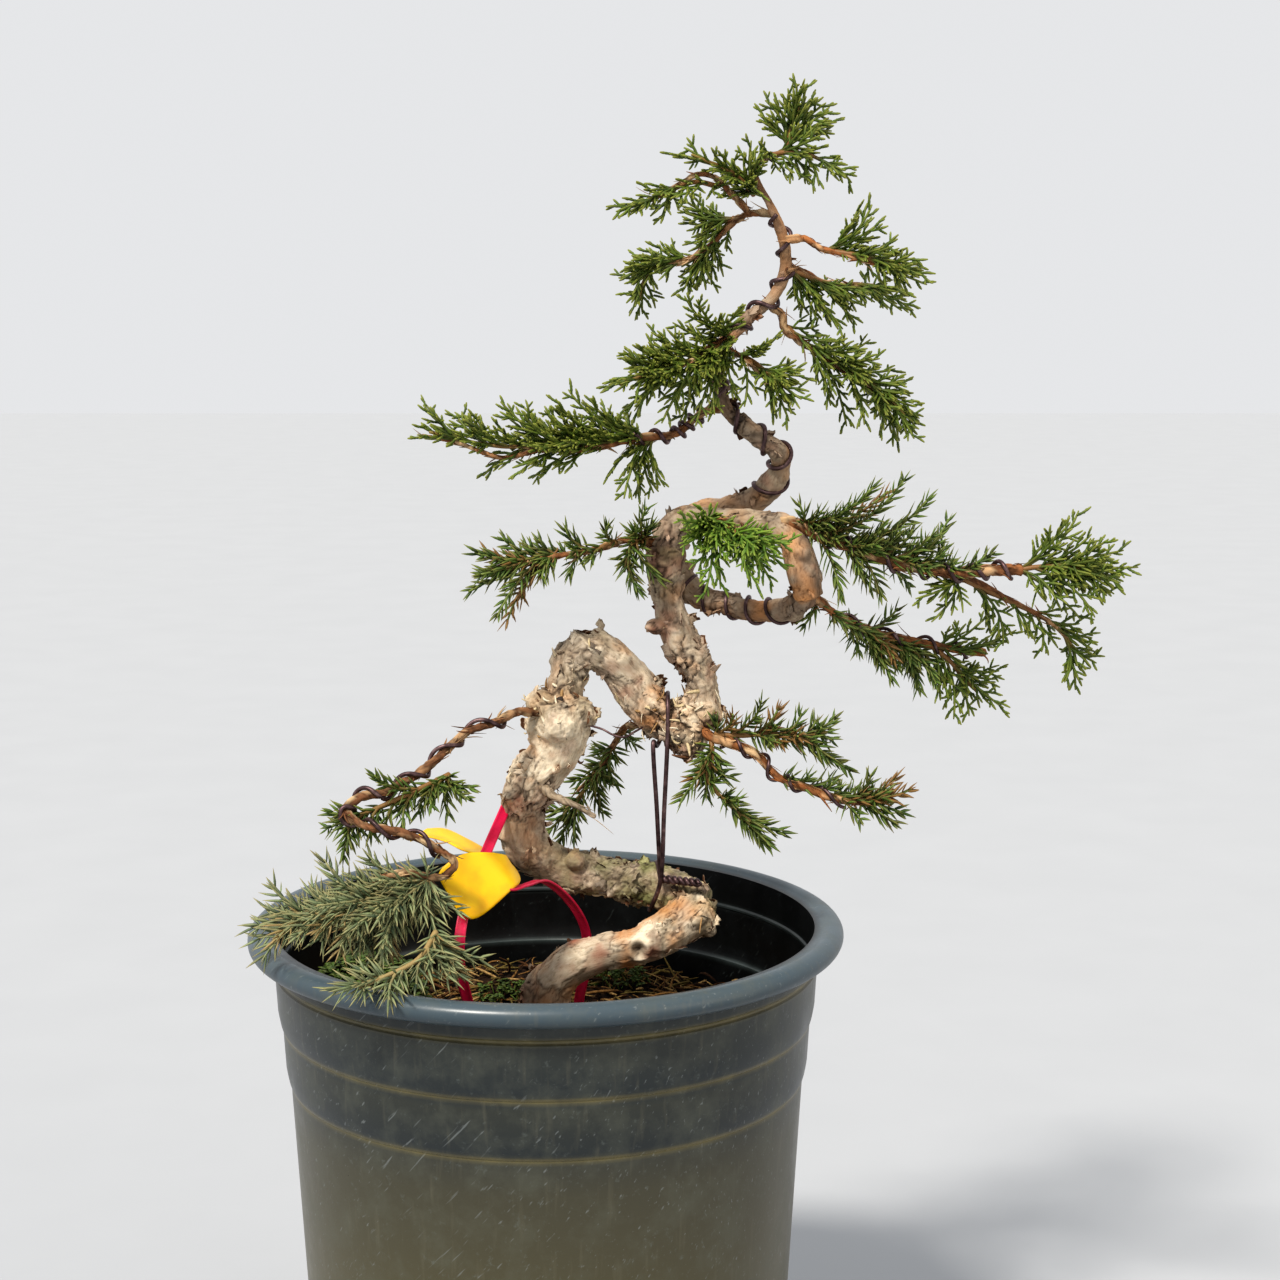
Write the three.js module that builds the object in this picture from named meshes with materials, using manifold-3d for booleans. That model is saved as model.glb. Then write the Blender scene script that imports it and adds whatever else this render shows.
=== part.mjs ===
// A young wired juniper, trained as a bonsai, in a round plastic nursery pot.
// Millimetres, +Z up. The origin is the middle of the pot's flat underside, and the tree faces -Y.
// The tree, its wires, label and strap are placed from the top of the soil, so they follow the pot.

import * as THREE from 'three';
import { mergeVertices } from 'three/addons/utils/BufferGeometryUtils.js';
import Module from 'manifold-3d';

const wasm = await Module();
wasm.setup();

// ---------------------------------------------------------------- driving dimensions

const fitGap = 0.3; // air between two pieces that touch

const pot = {
  height: 168.6,
  baseRadius: 65.3,
  topRadius: 77, // outside of the wall, just under the rim
  wall: 1.4,
  floor: 2,
  rimReach: 7, // how far the rolled rim stands out of the wall
  rimDepth: 6.3,
  step: 1, // how much the wall narrows under each band
  bandDrops: [27.5, 44], // from the rim's top to the lower edge of each band
  bandRound: 5,
  drainHoles: 6,
  drainRadius: 6,
  segments: 36,
};
const soil = {
  belowRim: 33.1,
  crown: 1.5, // how much higher the soil is in the middle
};
const wire = {
  heavyRadius: 0.6,
  lightRadius: 0.5,
  guyRadius: 0.65,
};
const label = { thickness: 0.6, steps: 12 };
const strap = { width: 3, thickness: 0.7 };

const soilTop = pot.height - soil.belowRim;

// ---------------------------------------------------------------- materials

function finish(color, roughness) {
  return () => new THREE.MeshStandardMaterial({ color, roughness, metalness: 0 });
}
const blackPlastic = finish(0x3d4143, 0.5);
const pottingSoil = finish(0x3b2b20, 1);
const greenMoss = finish(0x5d7a2c, 1);
const oldBark = finish(0xb8a48e, 0.9);
const youngBark = finish(0x8a5a36, 0.85);
const deadWood = finish(0xa08a72, 0.9);
const brownWire = () => new THREE.MeshStandardMaterial({ color: 0x4a3532, roughness: 0.4, metalness: 0.8 });
const scaleLeaves = finish(0x46632c, 0.8);
const needleLeaves = finish(0x49673f, 0.8);
const greyNeedles = finish(0x6f8069, 0.8);
const yellowPlastic = finish(0xffd500, 0.4);
const redPlastic = finish(0xd81e50, 0.4);

// ---------------------------------------------------------------- solids and fitting

function toSolid(geometry) {
  const bare = geometry.clone();
  bare.deleteAttribute('normal');
  bare.deleteAttribute('uv');
  const merged = mergeVertices(bare, 1e-4);
  return new wasm.Manifold(new wasm.Mesh({
    numProp: 3,
    vertProperties: merged.attributes.position.array,
    triVerts: new Uint32Array(merged.index.array),
  }));
}

function toGeometry(solid) {
  const mesh = solid.getMesh();
  const geometry = new THREE.BufferGeometry();
  geometry.setAttribute('position', new THREE.BufferAttribute(mesh.vertProperties, 3));
  geometry.setIndex(new THREE.BufferAttribute(mesh.triVerts, 1));
  geometry.computeVertexNormals();
  return geometry;
}

function largestBody(solid) {
  const bodies = solid.decompose();
  return bodies.reduce((best, body) => (body.volume() > best.volume() ? body : best));
}

function boxesMeet(a, b) {
  return [0, 1, 2].every((axis) => a.min[axis] < b.max[axis] && b.min[axis] < a.max[axis]);
}

const tree = new THREE.Group();
tree.position.z = soilTop;
const placed = [];

// Cuts a piece back from all the pieces placed before it, and adds it to the tree.
// build(grow) gives the piece's solid, with its surface moved out by grow. Soft pieces are cut
// back from a wire's sleeve, which is the whole tube that its turns lie in.
function place(name, material, build, { sleeve = null, soft = false } = {}) {
  let solid = build(0);
  for (const other of placed) {
    if (boxesMeet(other.grown.boundingBox(), solid.boundingBox())) {
      if (soft && other.sleeve) solid = solid.subtract(other.sleeve);
      solid = solid.subtract(other.grown);
    }
  }
  const mesh = new THREE.Mesh(toGeometry(largestBody(solid)), material());
  mesh.name = name;
  tree.add(mesh);
  placed.push({ grown: build(fitGap), sleeve });
}

// ---------------------------------------------------------------- routes, stems and pads

// A smooth route through stations [x, y, z, half width, half depth]. A round one leaves out the depth.
class Route {
  constructor(stations, facing = [0, 1, 0]) {
    const points = stations.map(([x, y, z]) => new THREE.Vector3(x, y, z));
    this.curve = new THREE.CatmullRomCurve3(points, false, 'centripetal');
    this.stations = stations;
    this.facing = new THREE.Vector3(...facing); // the way its depth points at the start
    this.spans = stations.length - 1;
  }

  sizeAt(t) {
    const place = THREE.MathUtils.clamp(t, 0, 1) * this.spans;
    const index = Math.min(Math.floor(place), this.spans - 1);
    const [from, to] = [this.stations[index], this.stations[index + 1]];
    const width = THREE.MathUtils.lerp(from[3], to[3], place - index);
    const depth = THREE.MathUtils.lerp(from[4] ?? from[3], to[4] ?? to[3], place - index);
    return { width, depth };
  }

  // Centres with two axes across the route, carried along it without twisting.
  frames(count, from = 0, to = 1) {
    const frames = [];
    let side = null;
    for (let i = 0; i <= count; i += 1) {
      const t = THREE.MathUtils.lerp(from, to, i / count);
      const tangent = this.curve.getTangent(t);
      side ??= this.facing;
      side = side.clone().addScaledVector(tangent, -side.dot(tangent)).normalize();
      const across = new THREE.Vector3().crossVectors(side, tangent);
      frames.push({ t, center: this.curve.getPoint(t), tangent, side, across });
    }
    return frames;
  }
}

// A closed skin over a row of rings, with a point at each end.
function skin(rings, firstTip, lastTip) {
  const sides = rings[0].length;
  const vertices = [...rings.flat(), firstTip, lastTip];
  const index = [];
  const corner = (ring, side) => ring * sides + (side % sides);
  for (let side = 0; side < sides; side += 1) {
    for (let ring = 0; ring < rings.length - 1; ring += 1) {
      const [a, b] = [corner(ring, side), corner(ring, side + 1)];
      const [c, d] = [corner(ring + 1, side), corner(ring + 1, side + 1)];
      index.push(a, b, c, b, d, c);
    }
    const last = rings.length - 1;
    index.push(vertices.length - 2, corner(0, side + 1), corner(0, side));
    index.push(vertices.length - 1, corner(last, side), corner(last, side + 1));
  }
  const geometry = new THREE.BufferGeometry().setFromPoints(vertices);
  geometry.setIndex(index);
  return geometry;
}

// A stem or a pad of leaves along a route. Notches make the edge of a pad wavy, as sprays of leaves do,
// and turn moves the corners of the section round by a share of a side.
function sweep(route, { sides, perSpan, grow = 0, notch = 0, tip = 0.6, turn = 0 }) {
  const frames = route.frames(route.spans * perSpan);
  const flatGrow = grow / Math.cos(Math.PI / sides); // so that the flats move out by grow too
  const rings = frames.map(({ t, center, side, across }, i) => {
    const { width, depth } = route.sizeAt(t);
    const wave = 1 - (i % 2) * notch;
    return Array.from({ length: sides }, (_, k) => {
      const angle = ((k + turn) / sides) * 2 * Math.PI;
      return center.clone()
        .addScaledVector(across, Math.cos(angle) * (width * wave + flatGrow))
        .addScaledVector(side, Math.sin(angle) * (depth * wave + flatGrow));
    });
  });
  const endOf = (frame, direction) => {
    const reach = route.sizeAt(frame.t).depth * tip + 1.5 * grow;
    return frame.center.clone().addScaledVector(frame.tangent, direction * reach);
  };
  return toSolid(skin(rings, endOf(frames[0], -1), endOf(frames.at(-1), 1)));
}

const stem = (stations) => (grow) => sweep(new Route(stations), { sides: 5, perSpan: 2, grow });
const pad = (stations) => (grow) => (
  sweep(new Route(stations), { sides: 6, perSpan: 2, grow, notch: 0.22, tip: 0.5 })
);

// A wire wound round a stem, from one share of the stem's route to another.
class Coil extends THREE.Curve {
  constructor(route, { from, to, turns, phase = 0 }, reach) {
    super();
    Object.assign(this, { route, turns, phase, reach });
    this.frames = route.frames(turns * 24, from, to);
    this.arcLengthDivisions = turns * 24;
  }

  getPoint(t, target = new THREE.Vector3()) {
    const place = THREE.MathUtils.clamp(t, 0, 1) * (this.frames.length - 1);
    const index = Math.min(Math.floor(place), this.frames.length - 2);
    const [from, to] = [this.frames[index], this.frames[index + 1]];
    const mixed = (key) => from[key].clone().lerp(to[key], place - index);
    const angle = (this.phase + t * this.turns) * 2 * Math.PI;
    const stemRadius = this.route.sizeAt(THREE.MathUtils.lerp(from.t, to.t, place - index)).width;
    const radius = (stemRadius + this.reach) / chordShrink;
    return target.copy(mixed('center'))
      .addScaledVector(mixed('across'), Math.cos(angle) * radius)
      .addScaledVector(mixed('side'), Math.sin(angle) * radius);
  }
}

function section(radius, sides) {
  const corners = Array.from({ length: sides }, (_, k) => {
    const angle = (k / sides) * 2 * Math.PI;
    return new THREE.Vector2(Math.cos(angle) * radius, Math.sin(angle) * radius);
  });
  return new THREE.Shape(corners);
}

function rod(curve, radius, steps, sides = 5) {
  return toSolid(new THREE.ExtrudeGeometry(section(radius, sides), { steps, extrudePath: curve, bevelEnabled: false }));
}

const stepsPerTurn = 7;
const chordShrink = Math.cos(Math.PI / stepsPerTurn); // how far a turn's chords dip towards the stem
const sleeveSteps = 14;
const coil = (stations, radius, winding) => (grow) => {
  const curve = new Coil(new Route(stations), winding, fitGap + radius);
  return rod(curve, radius + grow, Math.round(winding.turns * stepsPerTurn));
};

// The tube round a wound stretch of a stem that the wire's turns lie in, with the gap outside them.
function coilSleeve(stations, radius, { from, to }) {
  const route = new Route(stations);
  const thickness = (fitGap + 2 * radius) / chordShrink + fitGap;
  const stretch = route.frames(sleeveSteps, from, to).map(({ t, center }) => (
    [...center, route.sizeAt(t).width / chordShrink + thickness]
  ));
  return sweep(new Route(stretch), { sides: 7, perSpan: 1, tip: 0.2 });
}

// ---------------------------------------------------------------- the pot

// The outside radius of the wall at a height: a straight taper that steps in under each band.
function wallRadius(z) {
  const taper = THREE.MathUtils.lerp(pot.baseRadius, pot.topRadius - pot.bandDrops.length * pot.step, z / pot.height);
  const steps = pot.bandDrops.map((drop) => {
    const rise = (z - (pot.height - drop)) / pot.bandRound;
    return pot.step * Math.sqrt(THREE.MathUtils.clamp(rise, 0, 1));
  });
  return taper + steps.reduce((sum, step) => sum + step, 0);
}

// Heights at which the wall's outline needs a point, from one height up to another.
function wallHeights(low, high) {
  const edges = pot.bandDrops.flatMap((drop) => {
    const edge = pot.height - drop;
    return [0, 0.12, 1].map((share) => edge + share * pot.bandRound);
  });
  const inside = edges.filter((z) => z > low && z < high).sort((a, b) => a - b);
  return [low, ...inside, high];
}

function potGeometry(grow = 0) {
  const rimBottom = pot.height - pot.rimDepth;
  const wallOutside = wallHeights(0, rimBottom).map((z) => [wallRadius(z) + grow, z]);
  const wallInside = wallHeights(pot.floor, pot.height - 1).map((z) => [wallRadius(z) - pot.wall - grow, z]).reverse();
  const middle = wallRadius(rimBottom) + pot.rimReach / 2;
  const rim = [-0.5, -0.25, 0, 0.25, 0.5, 0.75].map((turn) => {
    const angle = turn * Math.PI;
    const halfWidth = pot.rimReach / 2 + grow;
    const halfHeight = pot.rimDepth / 2 + grow;
    return [middle + Math.cos(angle) * halfWidth, rimBottom + pot.rimDepth / 2 + Math.sin(angle) * halfHeight];
  });
  const outline = [[0, -grow], ...wallOutside.slice(0, -1), [wallRadius(rimBottom) + grow, rimBottom - grow], ...rim];
  outline[1] = [pot.baseRadius + grow, -grow];
  outline.push(...wallInside, [0, pot.floor + grow], [0, -grow]);
  return new THREE.LatheGeometry(outline.map(([r, z]) => new THREE.Vector2(r, z)), pot.segments).rotateX(Math.PI / 2);
}

function drainHoles() {
  return Array.from({ length: pot.drainHoles }, (_, i) => {
    const angle = ((i + 0.5) / pot.drainHoles) * 2 * Math.PI;
    const hole = new THREE.CylinderGeometry(pot.drainRadius, pot.drainRadius, 3 * pot.drainRadius, 12);
    return toSolid(hole.translate(0, pot.baseRadius, 0).rotateZ(angle));
  });
}

function makePot() {
  const solid = drainHoles().reduce((body, hole) => body.subtract(hole), toSolid(potGeometry()));
  const mesh = new THREE.Mesh(toGeometry(solid), blackPlastic());
  mesh.name = 'pot';
  placed.push({ grown: toSolid(potGeometry(fitGap).translate(0, 0, -soilTop)) });
  return mesh;
}

// ---------------------------------------------------------------- the trunk

// Heights are above the soil. Each limb starts where the one before it ends, at a sharp bend.
const foot = [
  [0, -5, -22, 4], [-1, -5, -10, 6.5], [-1, -5, 0, 7.2], [0, -6, 13, 6.2], [6, -7, 21, 5.7], [15, -8, 25, 5],
  [27, -8, 28, 5], [37, -7, 33, 5.6], [43, -2, 37, 6.2],
];
const risingLimb = [
  [43, -2, 37, 6], [31, 5, 41, 5.3], [16, 8, 43, 5.1], [3, 8, 46, 5.4], [-5, 5, 52, 6.2], [-7, 1, 62, 5.9],
  [-3, -3, 74, 6.1], [3, -4, 83, 6.5], [5, -4, 91, 7.5], [5, -2, 97, 4.8], [6, -1, 102, 4.2], [7, 0, 107, 4.4],
  [12, 0, 112, 4.7],
];
const archLimb = [
  [12, 0, 112, 4.7], [18, 2, 107, 5], [23, 4, 101, 5.5], [28, 3, 94, 5.3], [33, 2, 90, 4.6], [40, 0, 89, 5],
];
const loopLimb = [
  [40, 0, 89, 5], [44, 0, 97, 4.2], [42, 0, 105, 3.5], [37, 0, 113, 4.2], [34, 0, 124, 3.6], [33, -1, 133, 4.4],
  [33, -1, 140, 4.4],
];
const loopTop = [
  [33, -1, 140, 4.4], [37, -2, 145, 3.5], [43, -4, 146, 3.3], [54, -4, 146, 3], [63, -5, 145, 3.3],
  [68, -9, 141, 3.8], [71, -12, 132, 4.2], [72, -11, 126, 3.9],
];
const loopBack = [
  [72, -11, 126, 3], [68, -4, 122, 2.8], [60, 4, 120, 2.8], [52, 9, 121, 2.8], [43, 12, 123, 2.9],
  [38, 15, 128, 3.1], [35, 17, 135, 3.1], [37, 18, 142, 3.1], [43, 17, 146, 3.1], [52, 14, 148, 3.1],
  [59, 9, 151, 3.1], [63, 5, 156, 3.1], [65, 2, 161, 2.61], [64, -1, 165, 2.43], [60, -2, 168, 2.21],
  [55, -2, 172, 2.13], [50, -3, 176, 2.05], [48, -4, 181, 1.89], [47, -3, 187, 1.89], [49, -1, 193, 1.89],
  [53, 1, 198, 1.8], [57, 3, 202, 1.64], [62, 4, 206, 1.64], [65, 4, 211, 1.56], [66, 3, 217, 1.48], [65, 1, 223, 1.31],
  [63, 0, 228, 1.23], [61, -1, 232, 1.07], [58, -1, 237, 0.98], [57, 0, 241, 0.9], [61, 1, 244, 0.82],
  [66, 1, 246, 0.74], [67, 0, 250, 0.57],
];
const limbs = [foot, risingLimb, archLimb, loopLimb, loopTop, loopBack];

function bendKnob([x, y, z, radius], grow) {
  return toSolid(new THREE.SphereGeometry(radius * 1.02 + grow, 8, 5).translate(x, y, z));
}

function trunk(grow) {
  const tubes = limbs.map((limb) => sweep(new Route(limb), { sides: 8, perSpan: 2, grow, tip: 0.3 }));
  const knobs = limbs.slice(1).map((limb) => bendKnob(limb[0], grow));
  return [...tubes, ...knobs].reduce((body, piece) => body.add(piece));
}

// ---------------------------------------------------------------- label and strap

// A flat strap along a route of places. Its corners stand on the section's diagonals.
function band({ places, facing }, grow) {
  const toCorner = Math.SQRT1_2 * 2;
  const halfWidth = (strap.width / 2) * toCorner;
  const halfThickness = (strap.thickness / 2) * toCorner;
  const stations = places.map((place) => [...place, halfWidth, halfThickness]);
  return sweep(new Route(stations, facing), { sides: 4, perSpan: 3, grow, turn: 0.5, tip: 0 });
}

const longStrap = {
  facing: [0, 1, 0],
  places: [
    [5, 8, 86], [-2, 9, 81], [-8, 6, 72], [-12, -5, 64], [-16, -18, 56], [-19, -27, 49], [-21, -32, 43],
    [-22, -35, 36], [-22, -34, 28], [-20, -30, 16], [-18, -27, -5],
  ],
};
const shortStrap = {
  facing: [0, 0.57, 0.82], // it lies half on edge
  places: [
    [-13, -30, 51.5], [-9, -33, 50], [-5, -27, 49.5], [0, -13, 47], [5, -5, 41], [9, 0, 34], [11, 4, 27],
    [11, 6, 18], [9, 6, 8], [8, 6, -5],
  ],
};

// The label is a stiff ribbon that hangs in front of the strap, then rolls over and runs back to the left.
// Its two edges are given side by side.
const labelEdges = {
  lower: [
    [-22, -38, 45], [-18, -38, 43], [-8, -34, 50], [-6, -27, 51], [-10, -17, 54], [-16, -11, 55.5], [-22, -8, 58],
    [-28, -7, 60.5], [-33, -7, 60.5],
  ],
  upper: [
    [-28, -38, 56], [-21, -36, 60.5], [-14, -32, 60], [-10, -27, 58], [-15, -23, 57], [-22, -20, 57.5],
    [-27, -18, 59.5], [-33, -17, 60.5], [-37, -16, 59],
  ],
};

function labelSheet(grow) {
  const edges = [labelEdges.lower, labelEdges.upper].map((places) => (
    new THREE.CatmullRomCurve3(places.map((place) => new THREE.Vector3(...place)), false, 'centripetal')
  ));
  const rowAt = (t) => {
    const [low, high] = edges.map((edge) => edge.getPoint(t));
    const [lowAlong, highAlong] = edges.map((edge) => edge.getTangent(t));
    const across = high.clone().sub(low).normalize();
    const along = lowAlong.add(highAlong).normalize();
    const rise = new THREE.Vector3().crossVectors(across, along).setLength(label.thickness / 2 + grow);
    low.addScaledVector(across, -grow);
    high.addScaledVector(across, grow);
    const corners = [low.clone().add(rise), high.clone().add(rise), high.clone().sub(rise), low.clone().sub(rise)];
    return { corners, middle: low.clone().lerp(high, 0.5), along };
  };
  const rows = Array.from({ length: label.steps + 1 }, (_, i) => rowAt(i / label.steps));
  const endOf = (row, reach) => row.middle.clone().addScaledVector(row.along, reach);
  return toSolid(skin(rows.map((row) => row.corners), endOf(rows[0], -grow), endOf(rows.at(-1), grow)));
}

// ---------------------------------------------------------------- wires

// The guy wire pulls the arch down: one wire round the fork above and the limb below, its ends twisted.
const guy = {
  upper: { center: [33, 0, 90], across: 7.1, along: 6.8 },
  lower: { center: [30, 5, 41], across: 7.3, along: 6.8 },
  twist: { start: [32, -4, 45.5], end: [43, -9, 45.5], turns: 3.5 },
};

function guyWire(grow) {
  const radius = wire.guyRadius + grow;
  const { upper, lower, twist } = guy;
  const [ux, uy, uz] = upper.center;
  const [lx, ly, lz] = lower.center;
  const loop = new THREE.CatmullRomCurve3([
    [...twist.start],
    [ux - 2, uy - 6, (uz + lz) / 2],
    [ux - 3, uy - upper.across, uz - 5],
    [ux - 2, uy - 3, uz - upper.along],
    [ux, uy + upper.across, uz - 3],
    [ux + 1, uy + upper.across - 2, uz + 6],
    [ux + 1, uy - 4, uz + upper.along],
    [ux + 1, uy - upper.across, uz - 1],
    [ux, uy - 7, (uz + lz) / 2],
    [lx + 2, ly - lower.across - 3, lz + 4],
    [lx, ly - lower.across, lz - 3],
    [lx - 1, ly, lz - lower.along],
    [lx, ly + lower.across, lz],
    [lx + 1, ly + 1, lz + lower.along],
    [...twist.start],
  ].map((place) => new THREE.Vector3(...place)), false, 'centripetal');
  return rod(loop, radius, 46).add(twistedTail(grow));
}

// The two ends of the guy wire, twisted into one two-lobed tail.
function twistedTail(grow) {
  const { start, end, turns } = guy.twist;
  const sides = 8;
  const frames = new Route([start, end].map((place) => [...place, wire.guyRadius])).frames(turns * 6);
  const rings = frames.map(({ t, center, side, across }) => (
    Array.from({ length: sides }, (_, k) => {
      const angle = (k / sides) * 2 * Math.PI;
      const lobe = wire.guyRadius * (1 + 0.95 * Math.abs(Math.cos(angle))) + grow;
      const turned = angle + t * turns * Math.PI * 2;
      return center.clone()
        .addScaledVector(across, Math.cos(turned) * lobe)
        .addScaledVector(side, Math.sin(turned) * lobe);
    })
  ));
  const tipOf = (frame, reach) => frame.center.clone().addScaledVector(frame.tangent, reach);
  return toSolid(skin(rings, tipOf(frames[0], -grow), tipOf(frames.at(-1), grow)));
}

// ---------------------------------------------------------------- branches

const branches = {
  branch_wired_left: [
    [3, -4, 91, 1.22], [-6, -14, 95, 1.09], [-13, -20, 93, 1.09], [-21, -26, 91, 1.09], [-27, -32, 86, 1.09],
    [-33, -38, 82, 1.09], [-40, -43, 79, 1.09], [-47, -46, 78, 1.09], [-50, -49, 75, 1.09], [-45, -52, 72, 1.02],
    [-36, -51, 70, 1.02], [-28, -49, 66, 0.95], [-22, -48, 61, 0.88], [-25, -51, 58, 0.82], [-34, -54, 60, 0.82],
    [-41, -56, 59, 0.68],
  ],
  branch_behind: [
    [32, 4, 89, 0.94], [27, 13, 86, 0.86], [22, 20, 84, 0.86], [18, 25, 77, 0.78], [14, 26, 70, 0.62], [8, 26, 64, 0.47],
  ],
  branch_bottom_right: [
    [41, -1, 89, 1.25], [46, -9, 87, 1.17], [50, -12, 86, 1.09], [58, -14, 83, 1.09], [64, -16, 77, 0.94],
    [70, -18, 75, 0.94], [83, -20, 71, 0.86], [93, -22, 72, 0.62],
  ],
  branch_low_right: [
    [71, -11, 128, 1.17], [77, -6, 123, 1.09], [82, -2, 119, 1.01], [93, 2, 114, 1.01], [106, 4, 111, 1.09],
    [115, 5, 109, 1.09], [123, 6, 108, 1.01],
  ],
  branch_long_right: [
    [63, -5, 146, 1.36], [69, -10, 146, 1.61], [74, -12, 143, 1.44], [83, -13, 140, 1.36], [94, -15, 136, 1.36],
    [103, -16, 134, 1.36], [113, -16, 133, 1.27], [121, -16, 134, 1.36], [129, -16, 134, 1.53],
  ],
  branch_long_right_fork: [
    [112, -15, 133, 0.86], [120, -10, 129, 0.78], [127, -8, 125, 0.62], [138, -6, 119, 0.55], [144, -5, 114, 0.39],
  ],
  branch_loop_front: [
    [43, -4, 146, 0.86], [48, -13, 147, 0.86], [54, -19, 144, 0.62], [61, -22, 142, 0.55],
  ],
  branch_mid_left: [
    [33, -1, 139, 1.09], [26, -7, 141, 0.86], [21, -9, 141, 0.86], [15, -11, 139, 0.78], [7, -13, 138, 0.7],
    [1, -14, 137, 0.62], [-4, -15, 136, 0.47],
  ],
  branch_long_left: [
    [49, -3, 177, 1.17], [44, -5, 176, 1.09], [40, -5, 173, 1.01], [36, -6, 170, 0.94], [26, -8, 169, 0.86],
    [17, -10, 167, 0.86], [9, -11, 166, 0.78], [-1, -12, 166, 0.7], [-11, -13, 164, 0.62], [-22, -14, 168, 0.55],
    [-32, -15, 170, 0.39],
  ],
  branch_front: [
    [51, 0, 196, 0.94], [48, -8, 195, 0.78], [44, -13, 193, 0.7], [40, -18, 190, 0.7], [32, -22, 188, 0.62],
  ],
  twig_front_right: [[50, -2, 193, 0.7], [55, -9, 190, 0.62], [58, -13, 187, 0.55], [64, -17, 183, 0.39]],
  branch_mid_right: [
    [61, 4, 205, 1.09], [65, 5, 202, 1.01], [66, 6, 198, 0.94], [70, 7, 195, 0.86], [76, 8, 191, 0.78],
    [82, 8, 187, 0.62], [87, 8, 184, 0.62], [93, 8, 180, 0.47],
  ],
  branch_upper_right_low: [[66, 2, 214, 0.78], [70, 5, 214, 0.7], [76, 8, 211, 0.62], [84, 10, 210, 0.55], [91, 12, 210, 0.39]],
  branch_upper_right: [[65, 1, 222, 0.94], [71, -3, 222, 0.86], [74, -5, 220, 0.78], [81, -8, 218, 0.62], [90, -11, 215, 0.47]],
  branch_upper_left: [
    [62, 0, 229, 0.94], [56, 1, 229, 0.86], [52, 4, 227, 0.78], [49, 7, 224, 0.7], [46, 9, 221, 0.62], [43, 10, 219, 0.62],
    [40, 11, 217, 0.55], [33, 12, 215, 0.47],
  ],
  branch_top_left: [
    [56, 1, 229, 0.86], [53, -2, 232, 0.86], [50, -4, 235, 0.78], [47, -5, 238, 0.7], [42, -7, 239, 0.62],
    [36, -9, 236, 0.47], [30, -11, 233, 0.39],
  ],
};

const deadTwigs = {
  dead_twig_low: [[-2, -5, 75, 1.4], [2, -12, 71, 1.1], [8, -14, 69, 0.8], [14, -16, 66, 0.5]],
};

// ---------------------------------------------------------------- leaves

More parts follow.
